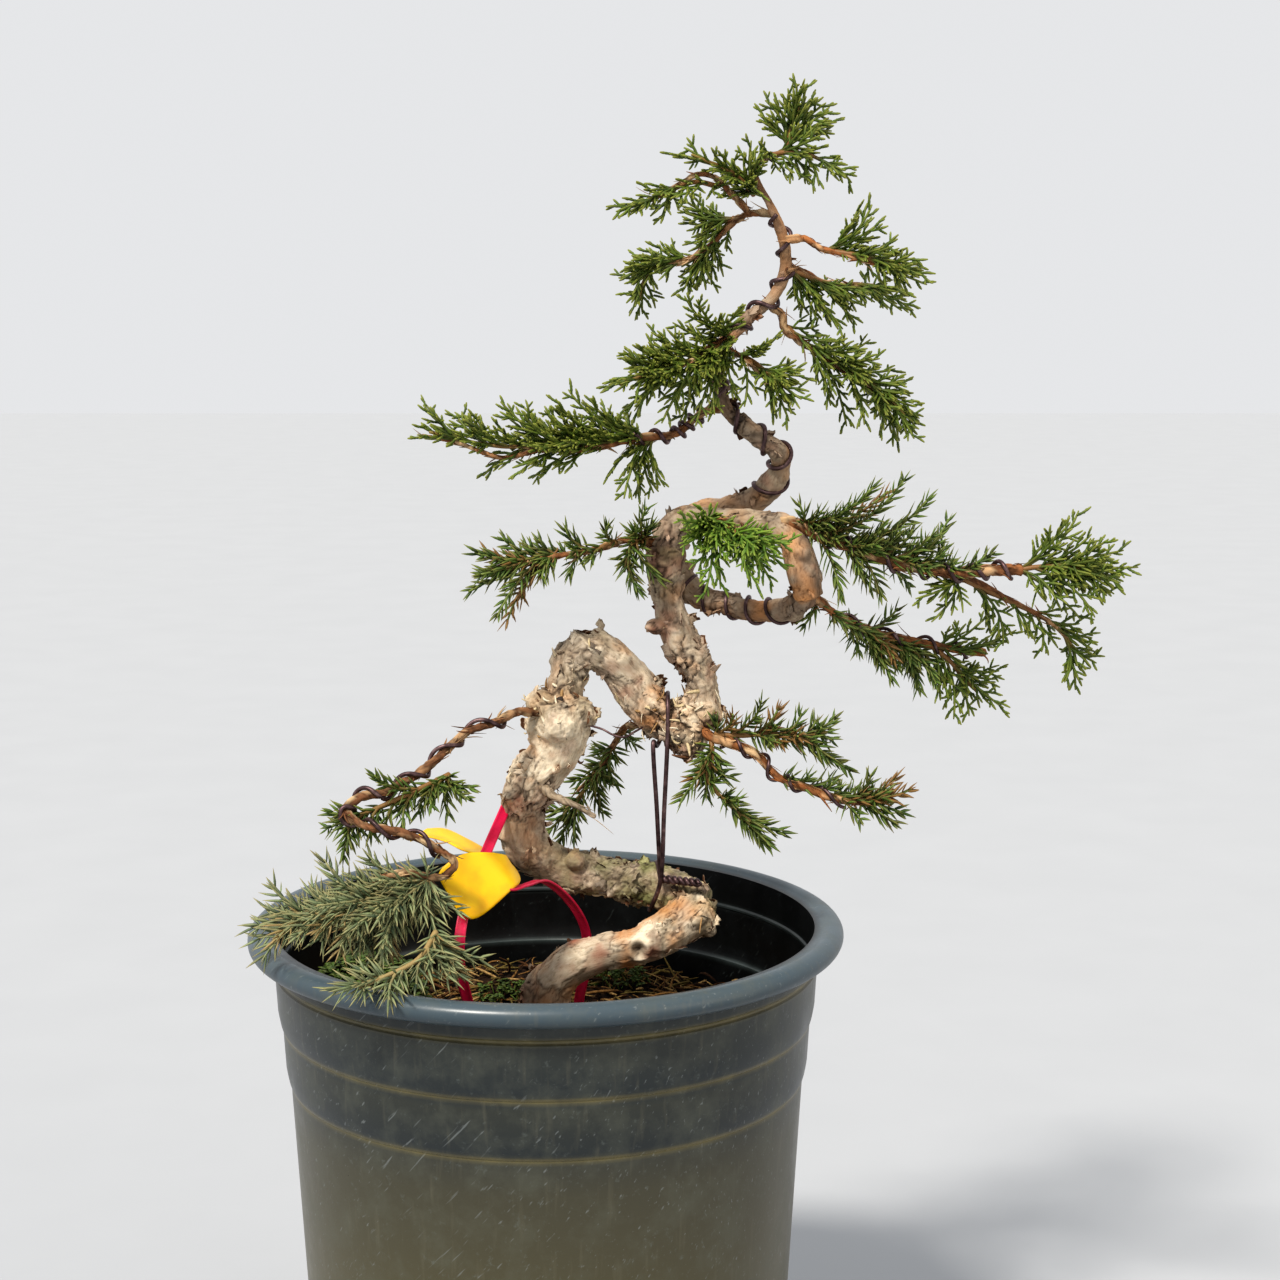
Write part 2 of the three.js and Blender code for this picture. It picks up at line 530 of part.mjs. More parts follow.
// Pads of scale leaves, thin and wide like a hand held flat.
const scalePads = {
  leaves_apex: [[66, 0, 250, 1.2, 1.5], [67, 0, 252, 6, 3], [68, 0, 256, 10.5, 6], [69, 0, 260, 6.5, 5], [69, 0, 262, 1.6, 2]],
  leaves_apex_right: [[67, -4, 246, 1.9, 2], [71, -5, 245, 5.3, 6], [75, -6, 243, 5.3, 7], [80, -6, 240, 2.7, 4], [84, -6, 237, 0.8, 2]],
  leaves_top_left: [[60, -3, 238, 2.2, 3], [56, -6, 240, 6, 7], [50, -8, 240, 6.5, 9], [45, -9, 243, 3.2, 7], [34, -12, 245, 0.8, 2]],
  leaves_top_left_low: [
    [47, -8, 234, 1.6, 3], [42, -10, 235, 2.6, 6], [36, -12, 234, 4.2, 8], [30, -14, 232, 4.7, 8],
    [26, -15, 230, 3.2, 6], [21, -16, 229, 0.8, 2],
  ],
  leaves_upper_left_near: [[48, 9, 224, 1.6, 2], [45, 10, 220, 4.4, 6], [42, 10, 216, 4.6, 6], [40, 10, 212, 2.2, 3]],
  leaves_upper_left: [[36, 12, 217, 1.4, 2], [32, 13, 216, 4.4, 7], [28, 14, 214, 7.2, 9], [25, 15, 209, 5, 7], [25, 15, 203, 1.7, 3]],
  leaves_upper_right: [[79, -8, 218, 1.6, 2], [84, -10, 218, 4.3, 6], [90, -12, 216, 5.3, 9], [97, -13, 215, 4.5, 8], [103, -14, 212, 1.6, 3]],
  leaves_upper_right_low: [
    [70, 6, 213, 1.6, 2], [76, 8, 208, 6, 8], [83, 10, 208, 4.6, 9], [90, 12, 208, 3.3, 7], [98, 14, 207, 2.8, 6],
    [103, 15, 203, 1.4, 3],
  ],
  leaves_mid_right: [
    [73, 7, 194, 2.2, 3], [79, 8, 191, 6, 9], [86, 8, 185, 8.6, 12], [94, 8, 179, 9.2, 12], [101, 8, 173, 6.5, 9],
    [104, 8, 168, 2.2, 4],
  ],
  leaves_front: [
    [52, -13, 192, 3.2, 4], [46, -17, 190, 8.5, 8], [39, -20, 189, 11, 12], [32, -23, 188, 11.5, 14],
    [24, -25, 186, 8.4, 11], [17, -27, 185, 2.6, 4],
  ],
  leaves_front_right: [[56, -15, 190, 2.1, 2], [60, -18, 188, 5.5, 5], [65, -19, 184, 6.4, 6], [68, -19, 178, 2.4, 3]],
  leaves_long_left: [
    [24, -9, 171, 2.2, 3], [16, -10, 173, 5.5, 10], [5, -12, 172, 8.2, 14], [-6, -13, 171, 8.4, 14],
    [-17, -14, 172, 7, 11], [-26, -15, 173, 5.3, 8], [-34, -16, 175, 2.4, 4],
  ],
  leaves_loop_front: [[38, -16, 147, 3.2, 4], [44, -20, 144, 5.9, 6], [52, -23, 142, 9, 8], [60, -25, 141, 8.5, 8], [66, -25, 142, 4.5, 5]],
  leaves_long_right_tip: [[131, -16, 135, 1.6, 3], [137, -17, 136, 6.5, 8], [144, -19, 134, 9.5, 11], [151, -20, 134, 8.4, 9], [160, -20, 134, 1.6, 3]],
  leaves_long_right_fork: [
    [119, -10, 129, 2.2, 3], [127, -8, 124, 3.3, 5], [138, -6, 118, 4.9, 8], [146, -5, 112, 6.4, 9],
    [148, -4, 106, 3.9, 6], [146, -4, 99, 1.4, 2],
  ],
  leaves_low_right_end: [[112, 4, 106, 3, 4], [117, 5, 101, 8, 9], [122, 5, 97, 6.5, 7], [128, 5, 93, 1.7, 2]],
};

// Pads of needle leaves, rounder than the scale ones.
const needlePads = {
  needles_mid_left_near: [[28, -9, 147, 2.6, 3], [26, -12, 144, 4.6, 5], [24, -12, 138, 5.4, 6], [21, -12, 131, 2.6, 4]],
  needles_mid_left: [[13, -12, 139, 2.2, 3], [6, -14, 139, 5.2, 8], [-2, -15, 137, 7, 10], [-10, -16, 134, 8.6, 11], [-15, -17, 133, 7, 8], [-20, -18, 132, 2.4, 3]],
  needles_long_right: [
    [71, -13, 149, 2.4, 3], [79, -14, 145, 6.2, 9], [88, -16, 142, 11, 13], [96, -17, 141, 10, 12],
    [104, -17, 139, 7.2, 10], [112, -17, 137, 4, 7], [119, -17, 137, 1.6, 3],
  ],
  needles_low_right: [[77, -4, 121, 2.6, 4], [84, -1, 116, 4.8, 8], [94, 2, 109, 7, 10], [103, 4, 106, 6.4, 9], [108, 4, 104, 2.4, 3]],
  needles_bottom_right_top: [[45, -11, 93, 2.2, 3], [54, -14, 92, 4.8, 8], [63, -16, 90, 6, 9], [72, -18, 89, 5.2, 9], [80, -19, 92, 2.4, 4]],
  needles_bottom_right: [[68, -18, 79, 2.4, 4], [80, -20, 76, 4.6, 8], [89, -22, 74, 5.4, 9], [97, -23, 73, 3.8, 6], [101, -24, 74, 1.3, 2]],
  needles_bottom_right_under: [[44, -11, 83, 2.6, 3], [45, -13, 79, 5.6, 7], [46, -14, 74, 6.4, 7], [43, -14, 70, 2.4, 4]],
  needles_behind: [[18, 25, 82, 3, 3], [17, 26, 74, 5.6, 6], [14, 27, 67, 6.2, 7], [11, 27, 61, 2.8, 4]],
  needles_wired_left: [[-23, -38, 78, 3, 3], [-31, -42, 74, 5.6, 6], [-39, -46, 72, 5.4, 7], [-47, -46, 69, 5, 6], [-53, -47, 64, 2.4, 3]],
};
const cascadePads = {
  needles_over_pot: [
    [-23, -54, 53, 2.6, 4], [-31, -52, 49, 10.5, 13], [-41, -54, 48, 13, 18], [-51, -53, 49, 13, 18],
    [-62, -49, 47, 10, 14], [-76, -42, 41, 2.4, 4],
  ],
  needles_over_rim: [[-16, -56, 38, 2.6, 3], [-25, -68, 37, 4.4, 6], [-35, -73, 36, 4.8, 7], [-44, -76, 36, 3.4, 6], [-50, -79, 35, 1.4, 2]],
};

// ---------------------------------------------------------------- assembly

const plastics = new THREE.Group();
plastics.add(makePot());
const root = new THREE.Group();
root.add(plastics, tree);

place('trunk', oldBark, trunk);
place('strap_long', redPlastic, (grow) => band(longStrap, grow));
place('strap_short', redPlastic, (grow) => band(shortStrap, grow));
place('label', yellowPlastic, labelSheet);
place('wire_guy', brownWire, guyWire);

const { branch_wired_left: wiredLeft, branch_low_right: lowRight, branch_long_right: longRight } = branches;
const windings = {
  wire_wired_left: [wiredLeft, wire.heavyRadius, { from: 0.1, to: 0.76, turns: 7, phase: 0.3 }],
  wire_long_left: [branches.branch_long_left, wire.heavyRadius, { from: 0.12, to: 0.42, turns: 5 }],
  wire_long_right: [longRight, wire.heavyRadius, { from: 0.3, to: 0.96, turns: 6 }],
  wire_low_right: [lowRight, wire.lightRadius, { from: 0.3, to: 0.9, turns: 4 }],
  wire_bottom_right: [branches.branch_bottom_right, wire.lightRadius, { from: 0.25, to: 0.85, turns: 4 }],
  wire_loop: [loopBack, wire.lightRadius, { from: 0.035, to: 0.15, turns: 5, phase: 0.2 }],
  wire_upper_trunk: [loopBack, wire.heavyRadius, { from: 0.3, to: 0.82, turns: 11 }],
};
for (const [name, wound] of Object.entries(windings)) {
  place(name, brownWire, coil(...wound), { sleeve: coilSleeve(...wound) });
}

for (const [name, stations] of Object.entries(branches)) place(name, youngBark, stem(stations));
for (const [name, stations] of Object.entries(deadTwigs)) place(name, deadWood, stem(stations));
for (const [pads, leaves] of [[scalePads, scaleLeaves], [needlePads, needleLeaves], [cascadePads, greyNeedles]]) {
  for (const [name, stations] of Object.entries(pads)) place(name, leaves, pad(stations), { soft: true });
}

// The soil fills the pot to just below the bands, and rises a little towards the trunk.
function soilBlock(grow) {
  const top = soilTop + grow;
  const sideHeights = wallHeights(pot.floor + fitGap, soilTop - soil.crown);
  const sides = sideHeights.map((z) => [wallRadius(z) - pot.wall - fitGap + grow, z]);
  const edge = sides.at(-1)[0];
  const rise = [0.75, 0.5, 0.25].map((share) => [edge * share, top - soil.crown * share ** 2]);
  sides.at(-1)[1] += grow;
  const outline = [[0, pot.floor + fitGap], ...sides, ...rise, [0, top]];
  const points = outline.map(([r, z]) => new THREE.Vector2(r, z));
  return toSolid(new THREE.LatheGeometry(points, pot.segments).rotateX(Math.PI / 2).translate(0, 0, -soilTop));
}
place('soil', pottingSoil, soilBlock);

// Moss grows in a mound on the soil, against the wall.
const mossOffWall = 18.7; // from the inside of the wall to the mound's middle
const mounds = {
  moss_left: { place: [pot.wall + mossOffWall - wallRadius(soilTop), 4], size: [20, 30, 20] },
};
function mound({ place: [x, y], size: [halfX, halfY, height] }, grow) {
  const dome = new THREE.SphereGeometry(1, 16, 8).rotateX(Math.PI / 2);
  return toSolid(dome.scale(halfX + grow, halfY + grow, height + grow).translate(x, y, -soil.crown));
}
for (const [name, shape] of Object.entries(mounds)) place(name, greenMoss, (grow) => mound(shape, grow));

export default root;
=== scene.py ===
import math

import bpy
import numpy as np
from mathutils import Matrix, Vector
from mathutils.bvhtree import BVHTree
from mathutils.kdtree import KDTree


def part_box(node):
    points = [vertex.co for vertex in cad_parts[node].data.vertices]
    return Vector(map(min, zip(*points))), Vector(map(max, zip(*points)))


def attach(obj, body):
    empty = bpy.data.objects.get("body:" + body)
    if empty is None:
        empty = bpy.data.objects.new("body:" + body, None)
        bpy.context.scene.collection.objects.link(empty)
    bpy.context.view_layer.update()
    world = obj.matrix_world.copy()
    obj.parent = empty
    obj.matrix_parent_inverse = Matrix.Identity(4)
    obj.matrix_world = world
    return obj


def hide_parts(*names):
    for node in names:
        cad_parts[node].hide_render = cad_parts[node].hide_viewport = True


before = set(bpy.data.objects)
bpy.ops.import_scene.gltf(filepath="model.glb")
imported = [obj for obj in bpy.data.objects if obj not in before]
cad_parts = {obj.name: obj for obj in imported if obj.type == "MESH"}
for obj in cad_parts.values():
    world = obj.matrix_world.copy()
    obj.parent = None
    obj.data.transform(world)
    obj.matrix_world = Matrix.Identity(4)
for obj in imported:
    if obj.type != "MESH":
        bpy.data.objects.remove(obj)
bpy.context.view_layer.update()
bpy.ops.object.select_all(action="DESELECT")

# Modelling is in millimetres, and the tree's heights are above the soil.
mm = 0.001
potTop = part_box("pot")[1].z / mm
soilTop = potTop - 33.1
fitGap = 0.3


def toLinear(colour):
    parts = [int(colour[i:i + 2], 16) / 255 for i in (1, 3, 5)]
    return [c / 12.92 if c <= 0.04045 else ((c + 0.055) / 1.055) ** 2.4 for c in parts] + [1.0]


def shadesOf(*colours):
    return np.array([toLinear(c)[:3] for c in colours])


def opaque(colour):
    return np.column_stack([colour, np.ones(len(colour))])


def addNode(tree, kind, values, out=0):
    # each value is a socket's number, colour or link, a setting of the node, or a ramp's stops
    node = tree.nodes.new("ShaderNode" + kind)
    sockets = {s.name: s for s in node.inputs} | {s.identifier: s for s in node.inputs}
    sockets |= dict(enumerate(node.inputs))
    for key, value in values.items():
        if key == "stops":
            while len(node.color_ramp.elements) < len(value):
                node.color_ramp.elements.new(0.5)
            for element, (place, colour) in zip(node.color_ramp.elements, value):
                element.position, element.color = place, toLinear(colour)
        elif isinstance(value, bpy.types.NodeSocket):
            tree.links.new(value, sockets[key])
        elif key in sockets:
            sockets[key].default_value = value
        else:
            setattr(node, key, value)
    return node.outputs[out]


def newMaterial(name, settings):
    material = bpy.data.materials.new(name)
    material.use_nodes = True
    shader = material.node_tree.nodes["Principled BSDF"]
    for key, value in settings.items():
        shader.inputs[key].default_value = value
    return material, material.node_tree, shader


def addTint(mesh, tint):
    layer = mesh.color_attributes.new("tint", "FLOAT_COLOR", "POINT")
    layer.data.foreach_set("color", np.asarray(tint, np.float32).ravel())


def addGrain(mesh, grain):
    # each point's place along and round its stem, in metres
    layer = mesh.attributes.new("grain", "FLOAT_VECTOR", "POINT")
    layer.data.foreach_set("vector", np.asarray(grain, np.float32).ravel())


def makePiece(name, points, faces, material, replaces=(), tint=None, grain=None):
    mesh = bpy.data.meshes.new(name)
    mesh.from_pydata((np.asarray(points, float) * mm).tolist(), [], faces)
    mesh.materials.append(material)
    mesh.polygons.foreach_set("use_smooth", [True] * len(mesh.polygons))
    if tint is not None:
        addTint(mesh, tint)
    if grain is not None:
        addGrain(mesh, np.asarray(grain, np.float32) * mm)
    mesh.validate()
    mesh.update()
    piece = bpy.data.objects.new(name, mesh)
    bpy.context.scene.collection.objects.link(piece)
    return settle(piece, replaces)


def settle(piece, replaces=()):
    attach(piece, "root")
    if replaces:
        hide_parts(*replaces)
    return piece


def applyModifier(piece, kind, **settings):
    modifier = piece.modifiers.new(kind.title(), kind)
    for key, value in settings.items():
        setattr(modifier, key, value)
    bpy.context.view_layer.objects.active = piece
    bpy.ops.object.modifier_apply(modifier=modifier.name)


# Noise at points, for bark and soil.

def hashed(cell, seed):
    n = (cell[..., 0] * 374761393 + cell[..., 1] * 668265263 + cell[..., 2] * 1440662683 + seed * 974634777)
    n = n & 0xFFFFFFFF
    n = ((n ^ (n >> 13)) * 1274126177) & 0xFFFFFFFF
    n = ((n ^ (n >> 15)) * 2246822519) & 0xFFFFFFFF
    return ((n ^ (n >> 16)) & 0xFFFFF) / 0xFFFFF


def softNoise(points, seed=0, layers=1):
    total, weight = 0.0, 0.0
    for layer in range(layers):
        scaled = points * 2 ** layer
        cell = np.floor(scaled).astype(np.int64)
        share = scaled - cell
        share = share * share * (3 - 2 * share)
        value = 0.0
        for corner in np.ndindex(2, 2, 2):
            corner = np.array(corner)
            part = np.prod(np.where(corner, share, 1 - share), axis=-1)
            value = value + part * hashed(cell + corner, seed + layer)
        total, weight = total + value / 2 ** layer, weight + 1 / 2 ** layer
    return total / weight


def plates(points, seed=0):
    # nearest and next cell centres: the gap between them is the crack round a plate
    cell = np.floor(points).astype(np.int64)
    first = np.full(len(points), 9.0)
    second = first.copy()
    number = np.zeros(len(points))
    offset = np.zeros((len(points), 3))
    for step in np.ndindex(3, 3, 3):
        other = cell + np.array(step) - 1
        centre = other + np.stack([hashed(other, seed + k) for k in (11, 12, 13)], axis=-1)
        away = points - centre
        distance = np.linalg.norm(away, axis=-1)
        nearer = distance < first
        second = np.where(nearer, first, np.minimum(second, distance))
        number = np.where(nearer, hashed(other, seed + 14), number)
        offset = np.where(nearer[:, None], away, offset)
        first = np.where(nearer, distance, first)
    return second - first, number, offset


def smoothRoute(stations, perSpan):
    # centripetal curve through the stations, as in the CAD; all columns past the third change evenly
    stations = [list(map(float, s)) for s in stations]
    p = np.array([s[:3] for s in stations])
    sizes = np.array([(s + [s[3]])[3:5] if len(s) > 3 else [1, 1] for s in stations])
    padded = np.vstack([2 * p[0] - p[1], p, 2 * p[-1] - p[-2]])
    rows, wide = [], []
    for k in range(len(p) - 1):
        p0, p1, p2, p3 = padded[k:k + 4]
        d0, d1, d2 = (max(np.linalg.norm(b - a) ** 0.5, 1e-4) for a, b in ((p0, p1), (p1, p2), (p2, p3)))
        t1 = ((p1 - p0) / d0 - (p2 - p0) / (d0 + d1) + (p2 - p1) / d1) * d1
        t2 = ((p2 - p1) / d1 - (p3 - p1) / (d1 + d2) + (p3 - p2) / d2) * d1
        last = k == len(p) - 2
        for t in np.linspace(0, 1, perSpan + 1)[:None if last else -1]:
            rows.append(p1 + t1 * t + (-3 * p1 + 3 * p2 - 2 * t1 - t2) * t ** 2 + (2 * p1 - 2 * p2 + t1 + t2) * t ** 3)
            wide.append(sizes[k] * (1 - t) + sizes[k + 1] * t)
    return np.array(rows), np.array(wide)


def unit(v):
    return v / np.maximum(np.linalg.norm(v, axis=-1, keepdims=True), 1e-9)


def stepsAlong(path):
    return np.concatenate([[0], np.cumsum(np.linalg.norm(np.diff(path, axis=0), axis=1))])


def pointsAt(at, marks, path):
    # the path's points at the given readings of its marks
    return np.stack([np.interp(at, marks, path[:, k]) for k in range(3)], -1)


def carriedAxes(path, start=(0, 1, 0)):
    tangent = unit(np.gradient(path, axis=0))
    side = np.array(start, float)
    sides = []
    for t in tangent:
        side = unit(side - side.dot(t) * t)
        sides.append(side)
    sides = np.array(sides)
    return tangent, sides, np.cross(sides, tangent)


def tubes(paths, radii, sides=4, flat=1.0, turn=0.0, reference=None, blunt=0.6):
    # many closed tubes at once; paths is (tubes, rings, 3) and radii is (tubes, rings)
    paths, radii = np.asarray(paths, float), np.asarray(radii, float)
    count, rings = radii.shape
    tangent = unit(np.gradient(paths, axis=1))
    if reference is None:
        reference = np.cross(tangent[:, 0], [0.36, 0.48, 0.8])
    side = np.repeat(np.asarray(reference, float)[:, None, :], rings, axis=1)
    side = unit(side - (side * tangent).sum(-1, keepdims=True) * tangent)
    across = np.cross(side, tangent)
    angles = (np.arange(sides) + turn) / sides * 2 * math.pi
    ring = across[:, :, None] * np.cos(angles)[:, None] + side[:, :, None] * (np.sin(angles)[:, None] * flat)
    body = paths[:, :, None] + ring * radii[:, :, None, None]
    first = paths[:, 0] - tangent[:, 0] * radii[:, :1] * blunt
    last = paths[:, -1] + tangent[:, -1] * radii[:, -1:] * blunt
    points = np.concatenate([body.reshape(count, -1, 3), first[:, None], last[:, None]], axis=1)
    per = rings * sides + 2
    quads, ends = [], []
    for s in range(sides):
        n = (s + 1) % sides
        for r in range(rings - 1):
            quads.append([r * sides + s, r * sides + n, (r + 1) * sides + n, (r + 1) * sides + s])
        ends.append([per - 2, n, s])
        ends.append([per - 1, (rings - 1) * sides + s, (rings - 1) * sides + n])
    start = np.arange(count)[:, None, None] * per
    faces = (start + np.array(quads)[None]).reshape(-1, 4).tolist() + (start + np.array(ends)[None]).reshape(-1,
        3).tolist()
    share = np.tile(np.concatenate([np.repeat(np.linspace(0, 1, rings), sides), [0, 1]]), (count, 1))
    return points.reshape(-1, 3), faces, share.reshape(-1)


def curvedPaths(starts, ways, bends, lengths, rings):
    t = np.linspace(0, 1, rings)[None, :, None]
    lengths = np.asarray(lengths)[:, None, None]
    return starts[:, None] + ways[:, None] * t * lengths + bends[:, None] * t ** 2 * lengths


def joined(parts):
    # parts are (points, faces, tint)
    points, faces, tints, start = [], [], [], 0
    for p, f, tint in parts:
        points.append(p)
        faces += [[i + start for i in face] for face in f]
        tints.append(tint)
        start += len(p)
    return np.vstack(points), faces, np.concatenate(tints)


def tintOf(share, number, dry=0.0):
    # red is how near the tip, green a share of its own, blue how dry
    share = np.asarray(share, float)
    return np.stack([share, np.broadcast_to(number, share.shape), np.broadcast_to(dry, share.shape),
        np.ones_like(share)], 1)


def barkMaterial(name, fibre):
    # Bark is dead cork in papery layers: matt, streaked along the stem, with dirt in its cracks; on the trunk its tint
    # also carries painted shade in the hollows, in the eye and under the peeling layers.
    material, tree, shader = newMaterial(name, {"Roughness": 0.82, "IOR": 1.45, "Specular IOR Level": 0.3})
    grain = addNode(tree, "Attribute", {"attribute_name": "grain"}, 1)
    tint = addNode(tree, "Attribute", {"attribute_name": "tint"})
    fine = addNode(tree, "TexNoise", {"Vector": grain, "Scale": 1 / (fibre * mm), "Detail": 4,
        "Roughness": 0.65})
    coarse = addNode(tree, "TexNoise", {"Vector": grain, "Scale": 0.25 / (fibre * mm), "Detail": 3})
    shade = addNode(tree, "ValToRGB", {"Fac": fine, "stops": [(0.3, "#8f7f70"), (0.42, "#e6ded3"),
        (0.7, "#ffffff")]})
    colour = addNode(tree, "Mix", {
        "data_type": "RGBA", "blend_type": "MULTIPLY", "Factor_Float": 0.7, "A_Color": tint, "B_Color": shade},
        2)
    tree.links.new(colour, shader.inputs["Base Color"])
    height = addNode(tree, "Math", {"operation": "ADD", 0: fine, 1: coarse})
    relief = addNode(tree, "Bump", {"Height": height, "Distance": 0.16 * mm, "Strength": 0.9})
    tree.links.new(relief, shader.inputs["Normal"])
    return material


def leafMaterial(name, dark, light, tip, dry):
    # A juniper leaf has a waxy skin: semi-matt, paler at its growing tip, straw brown once dry.
    material, tree, shader = newMaterial(name, {"Roughness": 0.5, "IOR": 1.45, "Specular IOR Level": 0.35})
    tint = addNode(tree, "Attribute", {"attribute_name": "tint"})
    parts = addNode(tree, "SeparateColor", {"Color": tint}).node.outputs
    place = addNode(tree, "TexCoord", {}, 3)
    patches = addNode(tree, "TexNoise", {"Vector": place, "Scale": 1 / (4 * mm), "Detail": 3})
    blend = addNode(tree, "Math", {"operation": "MULTIPLY_ADD", 0: parts["Green"], 1: 0.6, 2: patches})
    spread = addNode(tree, "MapRange", {"Value": blend, "From Min": 0.4, "From Max": 1.15})
    green = addNode(tree, "Mix", {
        "data_type": "RGBA", "Factor_Float": spread, "A_Color": toLinear(dark), "B_Color": toLinear(light)}, 2)
    young = addNode(tree, "Math", {"operation": "POWER", 0: parts["Red"], 1: 2.2})
    young = addNode(tree, "Math", {"operation": "MULTIPLY", 0: young, 1: 0.7})
    tipped = addNode(tree, "Mix", {"data_type": "RGBA", "Factor_Float": young, "A_Color": green,
        "B_Color": toLinear(tip)}, 2)
    colour = addNode(tree, "Mix", {
        "data_type": "RGBA", "Factor_Float": parts["Blue"], "A_Color": tipped, "B_Color": toLinear(dry)}, 2)
    tree.links.new(colour, shader.inputs["Base Color"])
    scales = addNode(tree, "TexNoise", {"Vector": place, "Scale": 1 / (0.6 * mm), "Detail": 2})  # leaf scales
    relief = addNode(tree, "Bump", {"Height": scales, "Distance": 0.1 * mm, "Strength": 0.6})
    tree.links.new(relief, shader.inputs["Normal"])
    return material


def wireMaterial():
    # Annealed aluminium anodised brown: a thin satin oxide skin, scuffed paler where it was bent.
    material, tree, shader = newMaterial("Anodised aluminium wire, brown", {"Metallic": 0.7})
    place = addNode(tree, "TexCoord", {}, 3)
    wear = addNode(tree, "TexNoise", {"Vector": place, "Scale": 1 / (2.5 * mm), "Detail": 4})
    colour = addNode(tree, "ValToRGB", {"Fac": wear, "stops": [(0.3, "#3a2b2c"), (0.55, "#5e494a"),
        (0.75, "#8f7877")]})
    tree.links.new(colour, shader.inputs["Base Color"])
    dull = addNode(tree, "MapRange", {"Value": wear, "To Min": 0.32, "To Max": 0.55})
    tree.links.new(dull, shader.inputs["Roughness"])
    drawn = addNode(tree, "TexNoise", {"Vector": place, "Scale": 1 / (0.7 * mm), "Detail": 2})
    relief = addNode(tree, "Bump", {"Height": drawn, "Distance": 0.04 * mm, "Strength": 0.5})
    tree.links.new(relief, shader.inputs["Normal"])
    return material


oldBark = barkMaterial("Juniper bark, old and peeling", 0.6)
youngBark = barkMaterial("Juniper bark, young", 0.35)
scaleLeaf = leafMaterial("Juniper scale leaves", "#1b3010", "#5a7026", "#a3a44a", "#84603a")
needleLeaf = leafMaterial("Juniper needles", "#1a2f14", "#587332", "#8f9c50", "#86643c")
greyNeedle = leafMaterial("Juniper needles, grey-green", "#3c5140", "#8b9a72", "#b0a878", "#a08a5e")
limeLeaf = leafMaterial("Juniper scale leaves, fresh", "#26461a", "#688a30", "#a0ac4c", "#84603a")
brownWire = wireMaterial()

# The tree's wood runs through these stations: x, y, height and radius.
limbs = {
    "foot": [
        (0, -5, -22, 4), (-1, -5, -10, 6.5), (-1, -5, 0, 7.2), (0, -6, 13, 6.2), (6, -7, 21, 5.7),
        (15, -8, 25, 5),
        (27, -8, 28, 5), (37, -7, 33, 5.6), (43, -2, 37, 6.2)],
    "rising": [
        (43, -2, 37, 6), (31, 5, 41, 5.3), (16, 8, 43, 5.1), (3, 8, 46, 5.4), (-5, 5, 52, 6.2),
        (-7, 1, 62, 5.9),
        (-3, -3, 74, 6.1), (3, -4, 83, 6.5), (5, -4, 91, 7.5), (5, -2, 97, 4.8), (6, -1, 102, 4.2),
        (7, 0, 107, 4.4),
        (12, 0, 112, 4.7)],
    "arch": [(12, 0, 112, 4.7), (18, 2, 107, 5), (23, 4, 101, 5.5), (28, 3, 94, 5.3), (33, 2, 90, 4.6),
        (40, 0, 89, 5)],
    "loop": [
        (40, 0, 89, 5), (44, 0, 97, 4.2), (42, 0, 105, 3.5), (37, 0, 113, 4.2), (34, 0, 124, 3.6),
        (33, -1, 133, 4.4),
        (33, -1, 140, 4.4)],
    "loopTop": [
        (33, -1, 140, 4.4), (37, -2, 145, 3.5), (43, -4, 146, 3.3), (54, -4, 146, 3), (63, -5, 145, 3.3),
        (68, -9, 141, 3.8), (71, -12, 132, 4.2), (72, -11, 126, 3.9)],
    "loopBack": [
        (72, -11, 126, 3), (68, -4, 122, 2.8), (60, 4, 120, 2.8), (52, 9, 121, 2.8), (43, 12, 123, 2.9),
        (38, 15, 128, 3.1), (35, 17, 135, 3.1), (37, 18, 142, 3.1), (43, 17, 146, 3.1), (52, 14, 148, 3.1),
        (59, 9, 151, 3.1), (63, 5, 156, 3.1), (65, 2, 161, 2.61), (64, -1, 165, 2.43), (60, -2, 168, 2.21),
        (55, -2, 172, 2.13), (50, -3, 176, 2.05), (48, -4, 181, 1.89), (47, -3, 187, 1.89), (49, -1, 193, 1.89),
        (53, 1, 198, 1.8), (57, 3, 202, 1.64), (62, 4, 206, 1.64), (65, 4, 211, 1.56), (66, 3, 217, 1.48),
        (65, 1, 223, 1.31),
        (63, 0, 228, 1.23), (61, -1, 232, 1.07), (58, -1, 237, 0.98), (57, 0, 241, 0.9), (61, 1, 244, 0.82),
        (66, 1, 246, 0.74), (67, 0, 250, 0.57)],
}
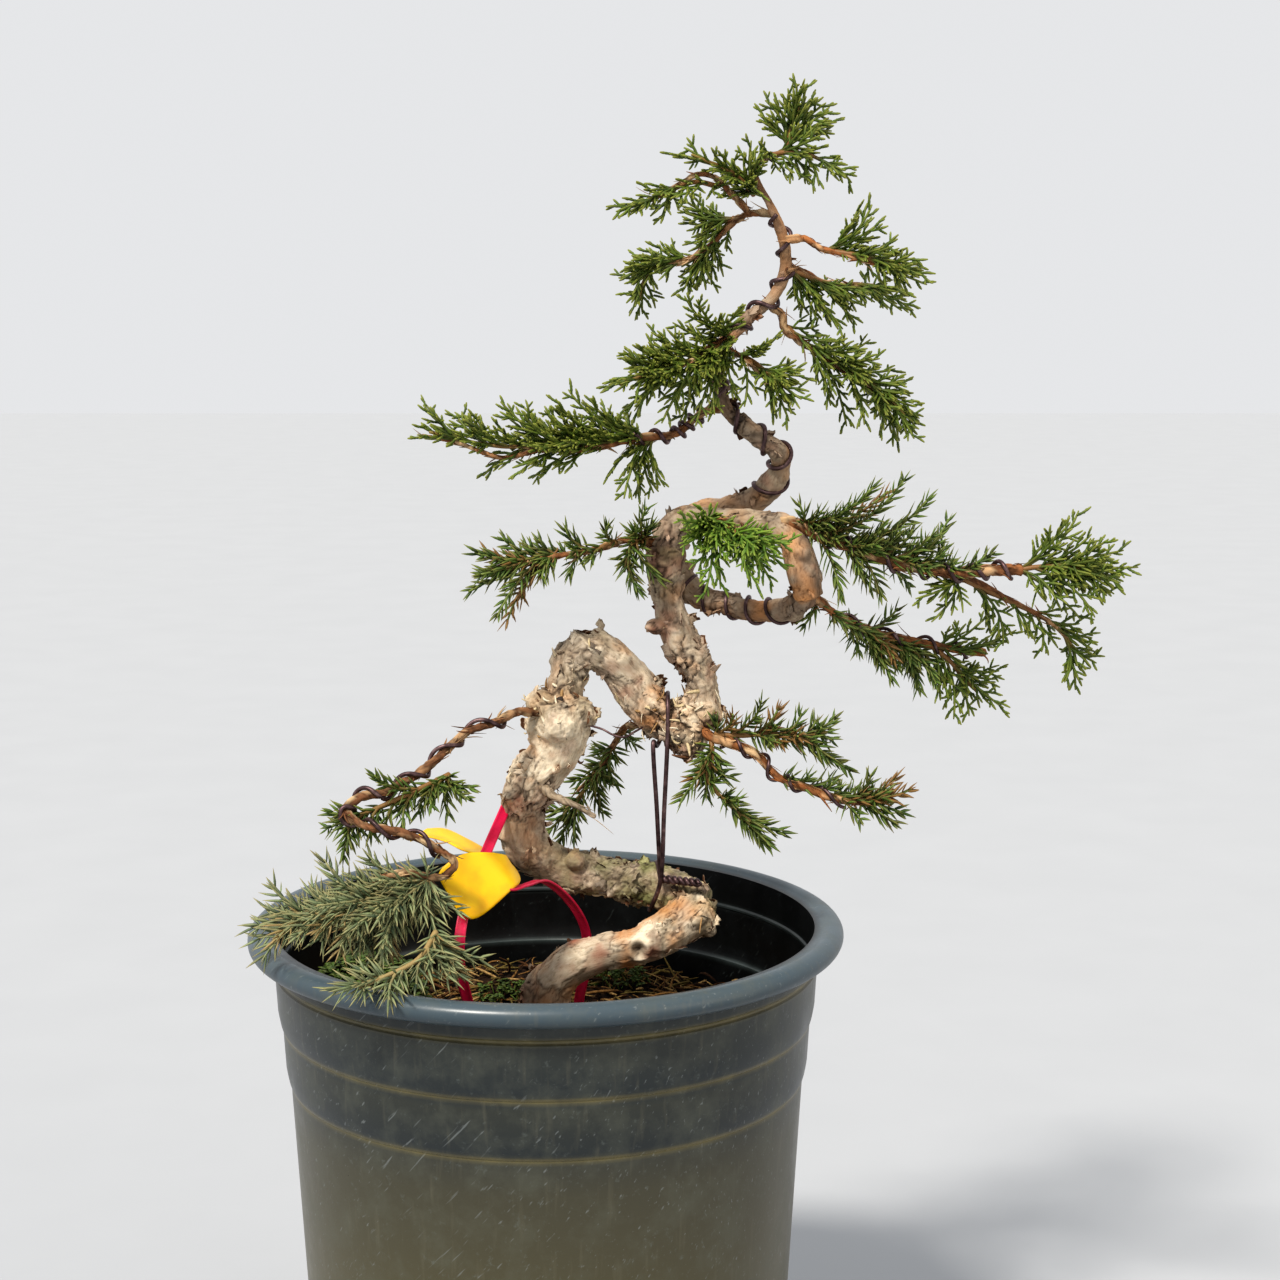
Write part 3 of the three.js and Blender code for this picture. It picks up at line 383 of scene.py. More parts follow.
# How flaky, pale, orange, mossy and crusty each limb's bark is, from its start to its end.
limbLook = {
    "foot": {
        "flaky": (0.2, 0.3, 0.35, 0.1, 0.3, 0.45), "pale": (0, 0, 0.3, 1, 1, 0.95),
        "warm": (0.2, 0.3, 0.5, 0.8, 0.8, 0.4),
        "moss": (0, 0, 0, 0, 0, 0.25), "crust": (0.1, 0, 0.1)},
    "rising": {
        "flaky": (0.6, 0.65, 0.45, 0.25, 0.3, 0.35, 0.55), "pale": (0.5, 0.6, 0.5, 0.7, 0.95, 0.95, 0.7),
        "warm": (0.2, 0.1, 0.25, 0.35, 0.8, 0.3, 0.2), "moss": (0.6, 0.95, 0.4, 0, 0, 0.15, 0),
        "crust": (0.3, 0.9, 0.4, 0.1, 0.1, 0.6, 0.3)},
    "arch": {"flaky": (0.45, 0.6, 0.6), "pale": (0.85, 0.75, 0.65), "warm": (0.25, 0.7, 0.45),
        "moss": (0.1, 0, 0.1), "crust": (0, 0.15, 0.9)},
    "loop": {"flaky": (0.8, 0.6, 0.7), "pale": (0.9, 0.5, 0.4), "warm": (0.4, 0.5, 0.5), "moss": (0.1, 0, 0.3),
        "crust": (0.9, 0.1, 0.1)},
    "loopTop": {"flaky": (0.6, 0.5, 0.3), "pale": (0.5, 0.5, 0.25), "warm": (0.4, 0.4, 0.8), "moss": (0, 0, 0),
        "crust": (0, 0, 0)},
    "loopBack": {"flaky": (0.5, 0.5, 0.6, 0.4), "pale": (0.25, 0.4, 0.3, 0.05), "warm": (0.5, 0.5, 0.5, 0.5),
        "moss": (0, 0, 0, 0), "crust": (0, 0, 0, 0)},
}


def aboveSoil(points):
    return np.asarray(points, float) + [0, 0, soilTop]


def along(values, share):
    return np.interp(share, np.linspace(0, 1, len(values)), values)


def barkColour(pale, warm, moss, number, patches, blush, crack, depth, layers):
    cream, grey, brown, dark, orange, pink, green = shadesOf(
        "#efe3cd", "#b9a994", "#6f4f3a", "#2e2018", "#d19a68", "#a9725c", "#8f9265")
    share = lambda x: np.clip(x, 0, 1)[:, None]
    colour = brown + (cream - brown) * share(pale * (0.5 + 0.25 * number + 0.22 * layers))
    colour = colour + (grey - colour) * share((patches - 0.5) * 3.2)
    colour = colour + (orange - colour) * share(warm * (blush - 0.5) * 5)
    colour = colour + (pink - colour) * share(warm * (0.42 - blush) * 5)
    colour = colour + (green - colour) * share(moss * (patches - 0.36) * 3.2)
    # cracks are darkened; crack also carries painted shade in the eye's hollow and under the peeling lips, and depth
    # is painted shade in the hollows with a darkening towards the soil
    return colour + (dark - colour) * share(0.9 * crack + depth)


# The fork's swollen knob, the eye and nubs of old branches, and the sizes of the plates and layers of bark.
trunk = {
    "burrs": [
        ((4, -8, 91), 6.5), ((-1, -7, 96), 4), ((9, -7, 94), 4.2), ((22, -10, 31.5), 1.3), ((7, -8, 27), 1.5),
        ((-11, 0, 58), 3),
        ((-9, -5, 70), 2.6), ((40, -3, 86), 5), ((45, -3, 93), 4), ((37, -4, 89), 4), ((31, -4, 117), 2.6),
        ((39, -3, 108), 2.2),
        ((8, 3, 49), 3), ((44, -6, 33), 3.2), ((70, -14, 138), 2.4), ((3, -10, 78), 1.3), ((12, -8, 92), 2.4)],
    "curl": [(3, -7, 95), (-1, -8, 94), (-3, -8, 91), (-3.2, -8, 88), (-1.8, -8, 84.5), (2, -7, 82)],
    "curlRadius": 1.5, "eye": (26, -12.4, 27.5), "perSpan": 9, "sides": 24, "voxel": 0.52, "smoothing": 6,
    "limbShift": 7, "plate": (7.5, 4.2, 4.2), "smallPlate": (3.2, 1.8, 1.8), "fibre": (7, 0.6, 0.6),
    "layer": (9, 4.5), "layerLevels": (0.43, 0.53)}


def trunkWood():
    # the limbs, a curled stub that leaves a small hole under the left branch, and the burrs, made one skin
    parts, centres, walked = [], [], 0.0
    for name, stations in limbs.items():
        path, size = smoothRoute(stations, trunk["perSpan"])
        tangent, side, across = carriedAxes(path)
        parts.append(tubes(path[None], size[None, :, 0], trunk["sides"], reference=[[0, 1, 0]], blunt=0.3))
        steps = stepsAlong(path)
        for k in range(len(path)):
            share = steps[k] / steps[-1]
            look = [along(limbLook[name][key], share) for key in ("flaky", "pale", "warm", "moss", "crust")]
            centres.append((path[k], tangent[k], side[k], across[k], walked + steps[k], size[k][0], look))
        walked += steps[-1] + trunk["limbShift"]
    curl, _ = smoothRoute(trunk["curl"], 10)
    parts.append(tubes(curl[None], np.full((1, len(curl)), trunk["curlRadius"]), 12))
    for place, radius in trunk["burrs"]:
        bpy.ops.mesh.primitive_ico_sphere_add(subdivisions=2, radius=radius, location=place)
        ball = bpy.context.object
        corners = np.array([v.co for v in ball.data.vertices]) + place
        parts.append((corners, [list(f.vertices) for f in ball.data.polygons], np.zeros(len(corners))))
        bpy.data.objects.remove(ball)
    points, faces, _ = joined(parts)
    mesh = bpy.data.meshes.new("trunk_wood")
    mesh.from_pydata((aboveSoil(points) * mm).tolist(), [], faces)
    wood = bpy.data.objects.new("trunk_wood", mesh)
    bpy.context.scene.collection.objects.link(wood)
    bpy.context.view_layer.objects.active = wood
    wood.select_set(True)
    mesh.remesh_voxel_size = trunk["voxel"] * mm
    bpy.ops.object.voxel_remesh()
    wood.select_set(False)
    return wood, centres


def smoothed(mesh, passes):
    co = np.zeros(len(mesh.vertices) * 3)
    mesh.vertices.foreach_get("co", co)
    co = co.reshape(-1, 3) / mm - [0, 0, soilTop]
    edges = np.zeros(len(mesh.edges) * 2, np.int64)
    mesh.edges.foreach_get("vertices", edges)
    edges = edges.reshape(-1, 2)
    for _ in range(passes):
        total = np.zeros_like(co)
        count = np.zeros(len(co))
        for a, b in ((0, 1), (1, 0)):
            np.add.at(total, edges[:, a], co[edges[:, b]])
            np.add.at(count, edges[:, a], 1)
        co = co * 0.5 + total / count[:, None] * 0.5
    return co


def makeTrunk():
    wood, centres = trunkWood()
    mesh = wood.data
    co = smoothed(mesh, trunk["smoothing"])
    tree = KDTree(len(centres))
    for k, row in enumerate(centres):
        tree.insert(Vector(row[0]), k)
    tree.balance()
    nearest = [tree.find(p)[1] for p in co]
    centre, tangent, side, across, walked, radius, look = (
        np.array([centres[k][c] for k in nearest]) for c in range(7))
    flaky, pale, warm, moss, crust = look.T
    crust = np.clip(crust, 0, 1)
    away = co - centre
    lengthwise = walked + (away * tangent).sum(1)
    around = np.stack([(away * across).sum(1), (away * side).sum(1)], 1)
    girth = np.maximum(np.linalg.norm(around, axis=1, keepdims=True), 0.1)
    onStem = around / girth * radius[:, None]
    normal = unit(away - (away * tangent).sum(1, keepdims=True) * tangent * 0.6)
    grain = np.column_stack([lengthwise, onStem])
    # plates of bark with wandering edges, in clusters, over a smooth skin
    warp = np.column_stack([softNoise(co / 5 + k * 31, 3 + k, 2) - 0.5 for k in range(3)])
    crack, number, offset = plates(grain / trunk["plate"] + warp * 1.5, 5)
    crack2, number2, _ = plates(grain / trunk["smallPlate"] + warp * 2.2, 9)
    edge, edge2 = np.clip(crack / 0.11, 0, 1), np.clip(crack2 / 0.17, 0, 1)
    rough = np.clip((softNoise(co / 8, 71, 2) - 0.62 + 0.4 * flaky) * 5, 0, 1)
    fibres = softNoise(grain / trunk["fibre"], 21, 2) - 0.5
    lumps = softNoise(co / 7, 31, 2) - 0.5
    grit = softNoise(co / 1.5, 41, 2) - 0.42
    beads, beadNumber, _ = plates(co / 1.7, 43)
    lift = np.clip(offset[:, 0] * 1.5 + 0.2, 0, 1) * (number > 0.5)
    rise = rough * (0.95 * edge * (number - 0.25) + 0.75 * lift * edge + 0.3 * edge2 * number2)
    rise = rise + 1.4 * lumps + 0.1 * fibres
    # thin layers that peel, each with a lip and a shallow groove under it, painted dark there as painted shade
    layerLength, layerWidth = trunk["layer"]
    peel = softNoise(np.column_stack([lengthwise / layerLength, onStem / layerWidth]) + warp * 0.9, 81, 3)
    levels = trunk["layerLevels"]
    lips = [np.clip((peel - level) * 30, 0, 1) for level in levels]
    under = sum(np.exp(-((peel - level + 0.012) / 0.013) ** 2) for level in levels) * (1 - 0.6 * crust)
    rise = rise + 0.3 * sum(lips) - 0.1 * under
    rise = rise + crust * (1.3 * grit + np.clip(beads, 0, 0.5) * 1.2 * (beadNumber > 0.3))
    # the eye: a ring of bark round a small hollow
    ring = np.linalg.norm(co - trunk["eye"], axis=1)
    rise = np.minimum(1,
        radius / 4) * rise + 1.1 * np.exp(-((ring - 2.6) / 0.8) ** 2) - 1.5 * np.exp(-(ring / 1.3) ** 2)
    co = co + normal * rise[:, None]
    patches = softNoise(co / 5.5, 51, 3)
    blush = softNoise(co / 7.5 + 9, 57, 3)
    # dark cracks round the plates, and painted shade in the eye's hollow; next, the gaps between the crust's beads are
    # darkened and painted shade goes in the groove under each lip
    cracksAndShade = np.maximum((1 - edge) * rough, 0.45 * (1 - edge2) * rough) + np.exp(-(ring / 1.4) ** 2)
    lined = np.clip(softNoise(co / 9, 91, 2) * 4 - 1.5, 0, 1)
    cracksAndShade = cracksAndShade + crust * (beads < 0.1) * 0.45 + 0.6 * under * lined
    # painted shade: darker in the hollows between the lumps; also darker towards the soil
    depth = np.clip(-lumps * 1.4 - 0.18, 0, 0.35) + np.clip(-(co[:, 2] - 4) / 8, 0, 0.7)
    colour = barkColour(pale, warm, moss, number, patches, blush, cracksAndShade, depth, sum(lips))
    mesh.vertices.foreach_set("co", (aboveSoil(co) * mm).ravel())
    addTint(mesh, opaque(colour))
    addGrain(mesh, grain / [3, 1, 1] * mm)
    mesh.polygons.foreach_set("use_smooth", [True] * len(mesh.polygons))
    mesh.materials.append(oldBark)
    mesh.update()
    settle(wood, ["trunk"])
    return co, normal, tangent, rough * np.clip(flaky + 0.1, 0, 1), crust, colour


# Papery scraps of bark, each held along one edge and curling off the stem, and shreds caught in the rough forks.
flakes = {
    "count": 640, "length": (1.2, 4.6), "height": (0.8, 2.9), "tilt": (0.1, 1.1), "curl": (-0.9, 1),
    "ragged": (0.55, 1.1), "columns": 5, "rows": 4, "sunk": 0.3, "thickness": 0.16, "crumple": 0.07,
    "shreds": 230, "shredLength": (1.2, 4), "shredWidth": (0.22, 0.6),
    "shredTaper": (0.8, 1, 1, 0.9, 0.7, 0.35)}


def makeFlakes(surface):
    co, normal, tangent, flaky, crust, colour = surface
    rng = np.random.default_rng(7)
    points, faces, tints, start = [], [], [], 0
    low = (co[:, 2] > 3) * (1.2 - np.clip(co[:, 2] / 300, 0, 1))
    weight = (flaky + 0.06) * low
    columns, rows = flakes["columns"], flakes["rows"]
    size = columns * rows
    for i in rng.choice(len(co), flakes["count"], replace=False, p=weight / weight.sum()):
        n = unit(normal[i])
        t = unit(np.cross(n, unit(np.cross(tangent[i], n)) + 0.5 * rng.normal(size=3)))
        w = np.cross(n, t) * rng.choice([-1, 1])
        length, height, tilt, curl = (rng.uniform(*flakes[key]) for key in ("length", "height", "tilt", "curl"))
        ragged = rng.uniform(*flakes["ragged"], columns)
        sheet = []
        for a in range(rows):
            u = a / (rows - 1)
            angle = tilt + curl * u
            for b in range(columns):
                v = b / (columns - 1) - 0.5
                reach = height * ragged[b] * u
                held = co[i] - n * flakes["sunk"] + t * v * length * (1 - 0.3 * u)
                sheet.append(held + (w * math.cos(angle) + n * math.sin(angle)) * reach + n * 0.25 * abs(v) * u)
        sheet = np.array(sheet) + rng.normal(size=(size, 3)) * flakes["crumple"]
        points += [sheet, sheet - n * flakes["thickness"]]
        for a in range(rows - 1):
            for b in range(columns - 1):
                k = start + a * columns + b
                quad = [k, k + 1, k + columns + 1, k + columns]
                faces += [quad, [q + size for q in reversed(quad)]]
        rim = [*range(columns), *(a * columns + columns - 1 for a in range(1, rows))]
        rim += [*(size - 1 - b for b in range(1, columns)), *(a * columns for a in range(rows - 2, 0, -1))]
        for a, b in zip(rim, rim[1:] + rim[:1]):
            faces.append([start + b, start + a, start + size + a, start + size + b])
        outer = colour[i] * rng.uniform(0.85, 1.4) + 0.03
        inner = shadesOf("#6b4a34")[0] * rng.uniform(0.4, 1.0)
        tints += [np.tile([*outer, 1], (size, 1)), np.tile([*inner, 1], (size, 1))]
        start += 2 * size
    weight = (crust ** 2 * (co[:, 2] > 60) + 0.04 * flaky) * low
    count = flakes["shreds"]
    chosen = rng.choice(len(co), count, replace=False, p=weight / weight.sum())
    way = tangent[chosen] * rng.choice([-1, 1], (count, 1)) + rng.normal(size=(count, 3)) * 0.6
    way = unit(way + normal[chosen] * 0.45)
    bend = rng.normal(size=(count, 3)) * 0.35 - normal[chosen] * 0.25
    lengths = rng.uniform(*flakes["shredLength"], count)
    shreds = curvedPaths(co[chosen] - normal[chosen] * 0.2, way, bend, lengths, len(flakes["shredTaper"]))
    width = rng.uniform(*flakes["shredWidth"], (count, 1)) * flakes["shredTaper"]
    p, f, _ = tubes(shreds, width, 4, flat=0.35)
    shades = shadesOf("#6d4e36", "#a98a62", "#d6c6a2", "#e9dfc8")
    pick = np.repeat(rng.integers(0, len(shades), count), len(p) // count)
    tints.append(opaque(shades[pick]))
    faces += [[k + start for k in face] for face in f]
    points = np.vstack(points + [p])
    tint = np.vstack(tints)
    piece = makePiece("bark_flakes", aboveSoil(points), faces, oldBark, tint=tint, grain=points)
    bpy.context.view_layer.objects.active = piece
    piece.select_set(True)
    bpy.ops.object.mode_set(mode="EDIT")
    bpy.ops.mesh.select_all(action="SELECT")
    bpy.ops.mesh.normals_make_consistent(inside=False)
    bpy.ops.object.mode_set(mode="OBJECT")
    piece.select_set(False)


branches = {
    "branch_wired_left": [
        (3, -4, 91, 1.22), (-6, -14, 95, 1.09), (-13, -20, 93, 1.09), (-21, -26, 91, 1.09),
        (-27, -32, 86, 1.09),
        (-33, -38, 82, 1.09), (-40, -43, 79, 1.09), (-47, -46, 78, 1.09), (-50, -49, 75, 1.09),
        (-45, -52, 72, 1.02),
        (-36, -51, 70, 1.02), (-28, -49, 66, 0.95), (-22, -48, 61, 0.88), (-25, -51, 58, 0.82),
        (-34, -54, 60, 0.82),
        (-41, -56, 59, 0.68)],
    "branch_behind": [(32, 4, 89, 0.94), (27, 13, 86, 0.86), (22, 20, 84, 0.86), (18, 25, 77, 0.78),
        (14, 26, 70, 0.62), (8, 26, 64, 0.47)],
    "branch_bottom_right": [
        (41, -1, 89, 1.25), (46, -9, 87, 1.17), (50, -12, 86, 1.09), (58, -14, 83, 1.09), (64, -16, 77, 0.94),
        (70, -18, 75, 0.94), (83, -20, 71, 0.86), (93, -22, 72, 0.62)],
    "branch_low_right": [
        (71, -11, 128, 1.17), (77, -6, 123, 1.09), (82, -2, 119, 1.01), (93, 2, 114, 1.01), (106, 4, 111, 1.09),
        (115, 5, 109, 1.09), (123, 6, 108, 1.01)],
    "branch_long_right": [
        (63, -5, 146, 1.36), (69, -10, 146, 1.61), (74, -12, 143, 1.44), (83, -13, 140, 1.36),
        (94, -15, 136, 1.36),
        (103, -16, 134, 1.36), (113, -16, 133, 1.27), (121, -16, 134, 1.36), (129, -16, 134, 1.53)],
    "branch_long_right_fork": [(112, -15, 133, 0.86), (120, -10, 129, 0.78), (127, -8, 125, 0.62),
        (138, -6, 119, 0.55), (144, -5, 114, 0.39)],
    "branch_loop_front": [(43, -4, 146, 0.86), (48, -13, 147, 0.86), (54, -19, 144, 0.62),
        (61, -22, 142, 0.55)],
    "branch_mid_left": [
        (33, -1, 139, 1.09), (26, -7, 141, 0.86), (21, -9, 141, 0.86), (15, -11, 139, 0.78), (7, -13, 138, 0.7),
        (1, -14, 137, 0.62), (-4, -15, 136, 0.47)],
    "branch_long_left": [
        (49, -3, 177, 1.17), (44, -5, 176, 1.09), (40, -5, 173, 1.01), (36, -6, 170, 0.94), (26, -8, 169, 0.86),
        (17, -10, 167, 0.86), (9, -11, 166, 0.78), (-1, -12, 166, 0.7), (-11, -13, 164, 0.62),
        (-22, -14, 168, 0.55),
        (-32, -15, 170, 0.39)],
    "branch_front": [(51, 0, 196, 0.94), (48, -8, 195, 0.78), (44, -13, 193, 0.7), (40, -18, 190, 0.7),
        (32, -22, 188, 0.62)],
    "twig_front_right": [(50, -2, 193, 0.7), (55, -9, 190, 0.62), (58, -13, 187, 0.55), (64, -17, 183, 0.39)],
    "branch_mid_right": [
        (61, 4, 205, 1.09), (65, 5, 202, 1.01), (66, 6, 198, 0.94), (70, 7, 195, 0.86), (76, 8, 191, 0.78),
        (82, 8, 187, 0.62), (87, 8, 184, 0.62), (93, 8, 180, 0.47)],
    "branch_upper_right_low": [(66, 2, 214, 0.78), (70, 5, 214, 0.7), (76, 8, 211, 0.62), (84, 10, 210, 0.55),
        (91, 12, 210, 0.39)],
    "branch_upper_right": [(65, 1, 222, 0.94), (71, -3, 222, 0.86), (74, -5, 220, 0.78), (81, -8, 218, 0.62),
        (90, -11, 215, 0.47)],
    "branch_upper_left": [
        (62, 0, 229, 0.94), (56, 1, 229, 0.86), (52, 4, 227, 0.78), (49, 7, 224, 0.7), (46, 9, 221, 0.62),
        (43, 10, 219, 0.62),
        (40, 11, 217, 0.55), (33, 12, 215, 0.47)],
    "branch_top_left": [
        (56, 1, 229, 0.86), (53, -2, 232, 0.86), (50, -4, 235, 0.78), (47, -5, 238, 0.7), (42, -7, 239, 0.62),
        (36, -9, 236, 0.47), (30, -11, 233, 0.39)],
    "dead_twig_low": [(-2, -5, 75, 1.4), (2, -12, 71, 1.1), (8, -14, 69, 0.8), (14, -16, 66, 0.5)],
}
# how orange each branch's bark is; the rest are a plain brown
orangeBark = {
    "branch_wired_left": 0.25, "branch_bottom_right": 0.85, "branch_low_right": 0.8, "branch_long_right": 0.6,
    "branch_upper_right": 0.85, "branch_long_left": 0.65, "branch_front": 0.6, "branch_mid_left": 0.7,
    "dead_twig_low": -1}


twigBark = {
    "ring": 0.7, "sides": 12, "plate": (3.6, 1.3, 1.3), "fibresPerMm": 1.1, "fibreLength": (1.5, 5),
    "fibreWidth": (0.6, 1.3), "fibreTaper": (0.16, 0.26, 0.24, 0.18, 0.06)}


def makeBranch(name, stations):
    path, size = smoothRoute(stations, 9)
    steps = stepsAlong(path)
    rings = int(steps[-1] / twigBark["ring"])
    at = np.linspace(0, steps[-1], rings)
    path = pointsAt(at, steps, path)
    radius = np.interp(at, steps, size[:, 0])
    points, faces, _ = tubes(path[None], radius[None], twigBark["sides"], reference=[[0, 1, 0]], blunt=0.5)
    ring = np.concatenate([np.repeat(np.arange(rings), twigBark["sides"]), [0, rings - 1]])
    away = points - path[ring]
    tangent = unit(np.gradient(path, axis=0))[ring]
    grain = np.column_stack([at[ring] + (away * tangent).sum(1), away @ np.array([[0, 1], [1, 0], [0.3, 0.3]])])
    seed = sum(map(ord, name))
    crack, number, _ = plates(grain / twigBark["plate"] + softNoise(points / 4, seed)[:, None], seed)
    edge = np.clip(crack / 0.3, 0, 1)
    lumps = softNoise(points / 2.6, seed + 1, 2) - 0.5
    rise = (0.32 * edge * (0.3 + number) + 0.75 * lumps - 0.05) * np.minimum(1, radius[ring])
    points = points + unit(away) * rise[:, None]
    orange = orangeBark.get(name, 0.45)
    if orange < 0:
        colour = shadesOf("#bfae98")[0] * (0.6 + 0.5 * number[:, None])
    else:
        brown, warm, pale = shadesOf("#7a5840", "#c47e45", "#d9c09a")
        colour = brown + (warm - brown) * np.clip(orange * (0.25 + number), 0, 1)[:, None]
        colour = colour + (pale - colour) * np.clip((number - 0.45) * 1.7, 0, 1)[:, None]
    tint = opaque(colour * (0.35 + 0.65 * edge[:, None]))
    # loose fibres lie along the bark and lift at one end
    rng = np.random.default_rng(seed)
    count = int(steps[-1] * twigBark["fibresPerMm"])
    chosen = rng.integers(0, len(points) - 2, count)
    out = unit(away)[chosen]
    way = tangent[chosen] * rng.choice([-1, 1], (count, 1)) + rng.normal(size=(count, 3)) * 0.22
    way = unit(way + out * 0.12)
    bend = rng.normal(size=(count, 3)) * 0.2
    lengths = rng.uniform(*twigBark["fibreLength"], count)
    paths = curvedPaths(points[chosen] - out * 0.06, way, bend, lengths, len(twigBark["fibreTaper"]))
    width = np.tile(twigBark["fibreTaper"], (count, 1)) * rng.uniform(*twigBark["fibreWidth"], (count, 1))
    corners, sheets, _ = tubes(paths, width, 4, flat=0.5, reference=out, blunt=0.3)
    shared = np.repeat(tint[chosen], len(corners) // count, axis=0) * rng.uniform(0.7, 1.35)
    grain = np.vstack([grain, corners]) / [5, 1, 1]
    return *joined([(points, faces, tint), (corners, sheets, shared)]), grain


surface = makeTrunk()
makeFlakes(surface)
print("trunk done", len(surface[0]))
for name, stations in branches.items():
    points, faces, tint, grain = makeBranch(name, stations)
    makePiece(name + "_bark", aboveSoil(points), faces, youngBark, [name], tint, grain)
print("branches done")


# Each wire: the stem it winds, its radius, where it starts and ends along it, its turns and its first angle.
wires = {
    "wire_wired_left": ["branch_wired_left", 0.6, 0.1, 0.76, 7, 0.3],
    "wire_long_left": ["branch_long_left", 0.6, 0.12, 0.42, 5, 0],
    "wire_long_right": ["branch_long_right", 0.6, 0.3, 0.96, 6, 0],
    "wire_low_right": ["branch_low_right", 0.5, 0.3, 0.9, 4, 0],
    "wire_bottom_right": ["branch_bottom_right", 0.5, 0.25, 0.85, 4, 0],
    "wire_loop": ["loopBack", 0.5, 0.035, 0.15, 5, 0.2],
    "wire_upper_trunk": ["loopBack", 0.6, 0.3, 0.82, 11, 0],
}


def windWire(stem, radius, begin, end, turns, phase):
    path, size = smoothRoute(limbs.get(stem) or branches[stem], 40)
    share = np.linspace(0, 1, len(path))
    t = np.linspace(begin, end, turns * 24 + 1)
    centre = pointsAt(t, share, path)
    _, side, across = carriedAxes(centre)
    angle = (phase + np.linspace(0, 1, len(t)) * turns) * 2 * math.pi
    reach = (np.interp(t, share, size[:, 0]) + fitGap + radius)[:, None]
    return centre + across * np.cos(angle)[:, None] * reach + side * np.sin(angle)[:, None] * reach


def makeWire(name, paths, radii):
    points, faces, _ = joined([
        tubes(path[None], np.full((1, len(path)), radius), 10, blunt=0.15) for path,
        radius in zip(paths, radii)])
    makePiece(name + "_metal", aboveSoil(points), faces, brownWire, [name])


for name, (stem, radius, begin, end, turns, phase) in wires.items():
    makeWire(name, [windWire(stem, radius, begin, end, turns, phase)], [radius])

# The guy loops round the fork and the arch's foot, and its ends are twisted together. A thin fuse wire ties the
# fork to the arch's foot; it shares the guy's piece.
guy = {
    "upper": (33, 0, 90), "lower": (30, 5, 41), "radius": 0.65, "upReach": (7.1, 6.8), "lowReach": (7.3, 6.8),
    "start": (32, -4, 45.5), "end": (43, -9, 45.5), "twists": 3.5, "fuseRadius": 0.3,
    "fuse": [(12, -9, 90.2), (16, -10, 89.2), (19, -11, 87.8), (22, -11, 87.2), (25, -9, 88.4), (27, -6, 89)]}


def guyLoop():
    ux, uy, uz = guy["upper"]
    lx, ly, lz = guy["lower"]
    ua, ul = guy["upReach"]
    la, ll = guy["lowReach"]
    middle = (uz + lz) / 2
    places = [
        guy["start"], (ux - 2, uy - 6, middle), (ux - 3, uy - ua, uz - 5), (ux - 2, uy - 3, uz - ul),
        (ux, uy + ua, uz - 3),
        (ux + 1, uy + ua - 2, uz + 6), (ux + 1, uy - 4, uz + ul), (ux + 1, uy - ua, uz - 1),
        (ux, uy - 7, middle),
        (lx + 2, ly - la - 3, lz + 4), (lx, ly - la, lz - 3), (lx - 1, ly, lz - ll), (lx, ly + la, lz),
        (lx + 1, ly + 1, lz + ll), guy["start"]]
    return smoothRoute(places, 14)[0]


def guyTail(turn):
    t = np.linspace(0, 1, 90)[:, None]
    start, end = np.array(guy["start"], float), np.array(guy["end"], float)
    ahead, side = unit(end - start), np.array([0, 0, 1.0])
    across = np.cross(side, ahead)
    angle = t * guy["twists"] * 2 * math.pi + turn
    return start + (end - start) * t + (across * np.cos(angle) + side * np.sin(angle)) * guy["radius"]


guyPaths = [guyLoop(), guyTail(0), guyTail(math.pi), smoothRoute(guy["fuse"], 12)[0]]
makeWire("wire_guy", guyPaths, [guy["radius"]] * 3 + [guy["fuseRadius"]])
print("wires done")


# The pot, as it was moulded: radii, heights and the drops of its bands below the rim. The rings are the heights
# its outline is drawn through, on the plain wall, about each band's edge and about the groove.
pot = {
    "baseRadius": 65.3, "topRadius": 77, "wall": 1.4, "floor": 2, "rimReach": 7, "rimDepth": 6.3, "step": 1,
    "bandDrops": (27.5, 44), "bandRound": 5, "grooveDrop": 11.4, "grooveDepth": 0.45, "drainHoles": 6,
    "drainRadius": 6, "segments": 128, "wallRings": (0.8, 20, 45, 70, 95),
    "grooveRings": (-1.6, -0.8, -0.3, 0.3, 0.8, 1.6),
    "bandRings": (-5, -1.5, -0.6, 0, 0.1, 0.5, 1.2, 2.2, 3.4, 5, 9), "dustWidths": (0.8, 0.7, 0.7)}


def wallRadius(z):
    taper = pot["baseRadius"] + (pot["topRadius"] - 2 * pot["step"] - pot["baseRadius"]) * z / potTop
    for drop in pot["bandDrops"]:
        rise = min(max((z - (potTop - drop)) / pot["bandRound"], 0), 1)
        taper += pot["step"] * math.sqrt(rise)
    return taper


def potOutline():
    rimBottom, groove = potTop - pot["rimDepth"], potTop - pot["grooveDrop"]
    heights = list(pot["wallRings"])
    for drop in reversed(pot["bandDrops"]):
        heights += [potTop - drop + rise for rise in pot["bandRings"]]
    heights += [groove + rise for rise in pot["grooveRings"]] + [rimBottom]
    cut = lambda z: pot["grooveDepth"] if abs(z - groove) < 0.5 else 0
    outside = [(wallRadius(z) - cut(z), z) for z in heights]
    middle = wallRadius(rimBottom) + pot["rimReach"] / 2
    rim = []
    for k in range(19):
        angle = (-0.5 + k * 1.25 / 18) * math.pi
        rise = math.sin(angle) * pot["rimDepth"] / 2
        rim.append((middle + math.cos(angle) * pot["rimReach"] / 2, rimBottom + pot["rimDepth"] / 2 + rise))
    inner = [potTop - 1.2, potTop - 4] + heights[-2:0:-1] + [pot["floor"] + 1]
    inside = [(wallRadius(z) - pot["wall"] - cut(z), z) for z in inner]
    floorEdge = (pot["baseRadius"] - pot["wall"] - 1.5, pot["floor"])
    return [(pot["baseRadius"] - 0.8, 0)] + outside + rim[1:] + inside + [floorEdge]


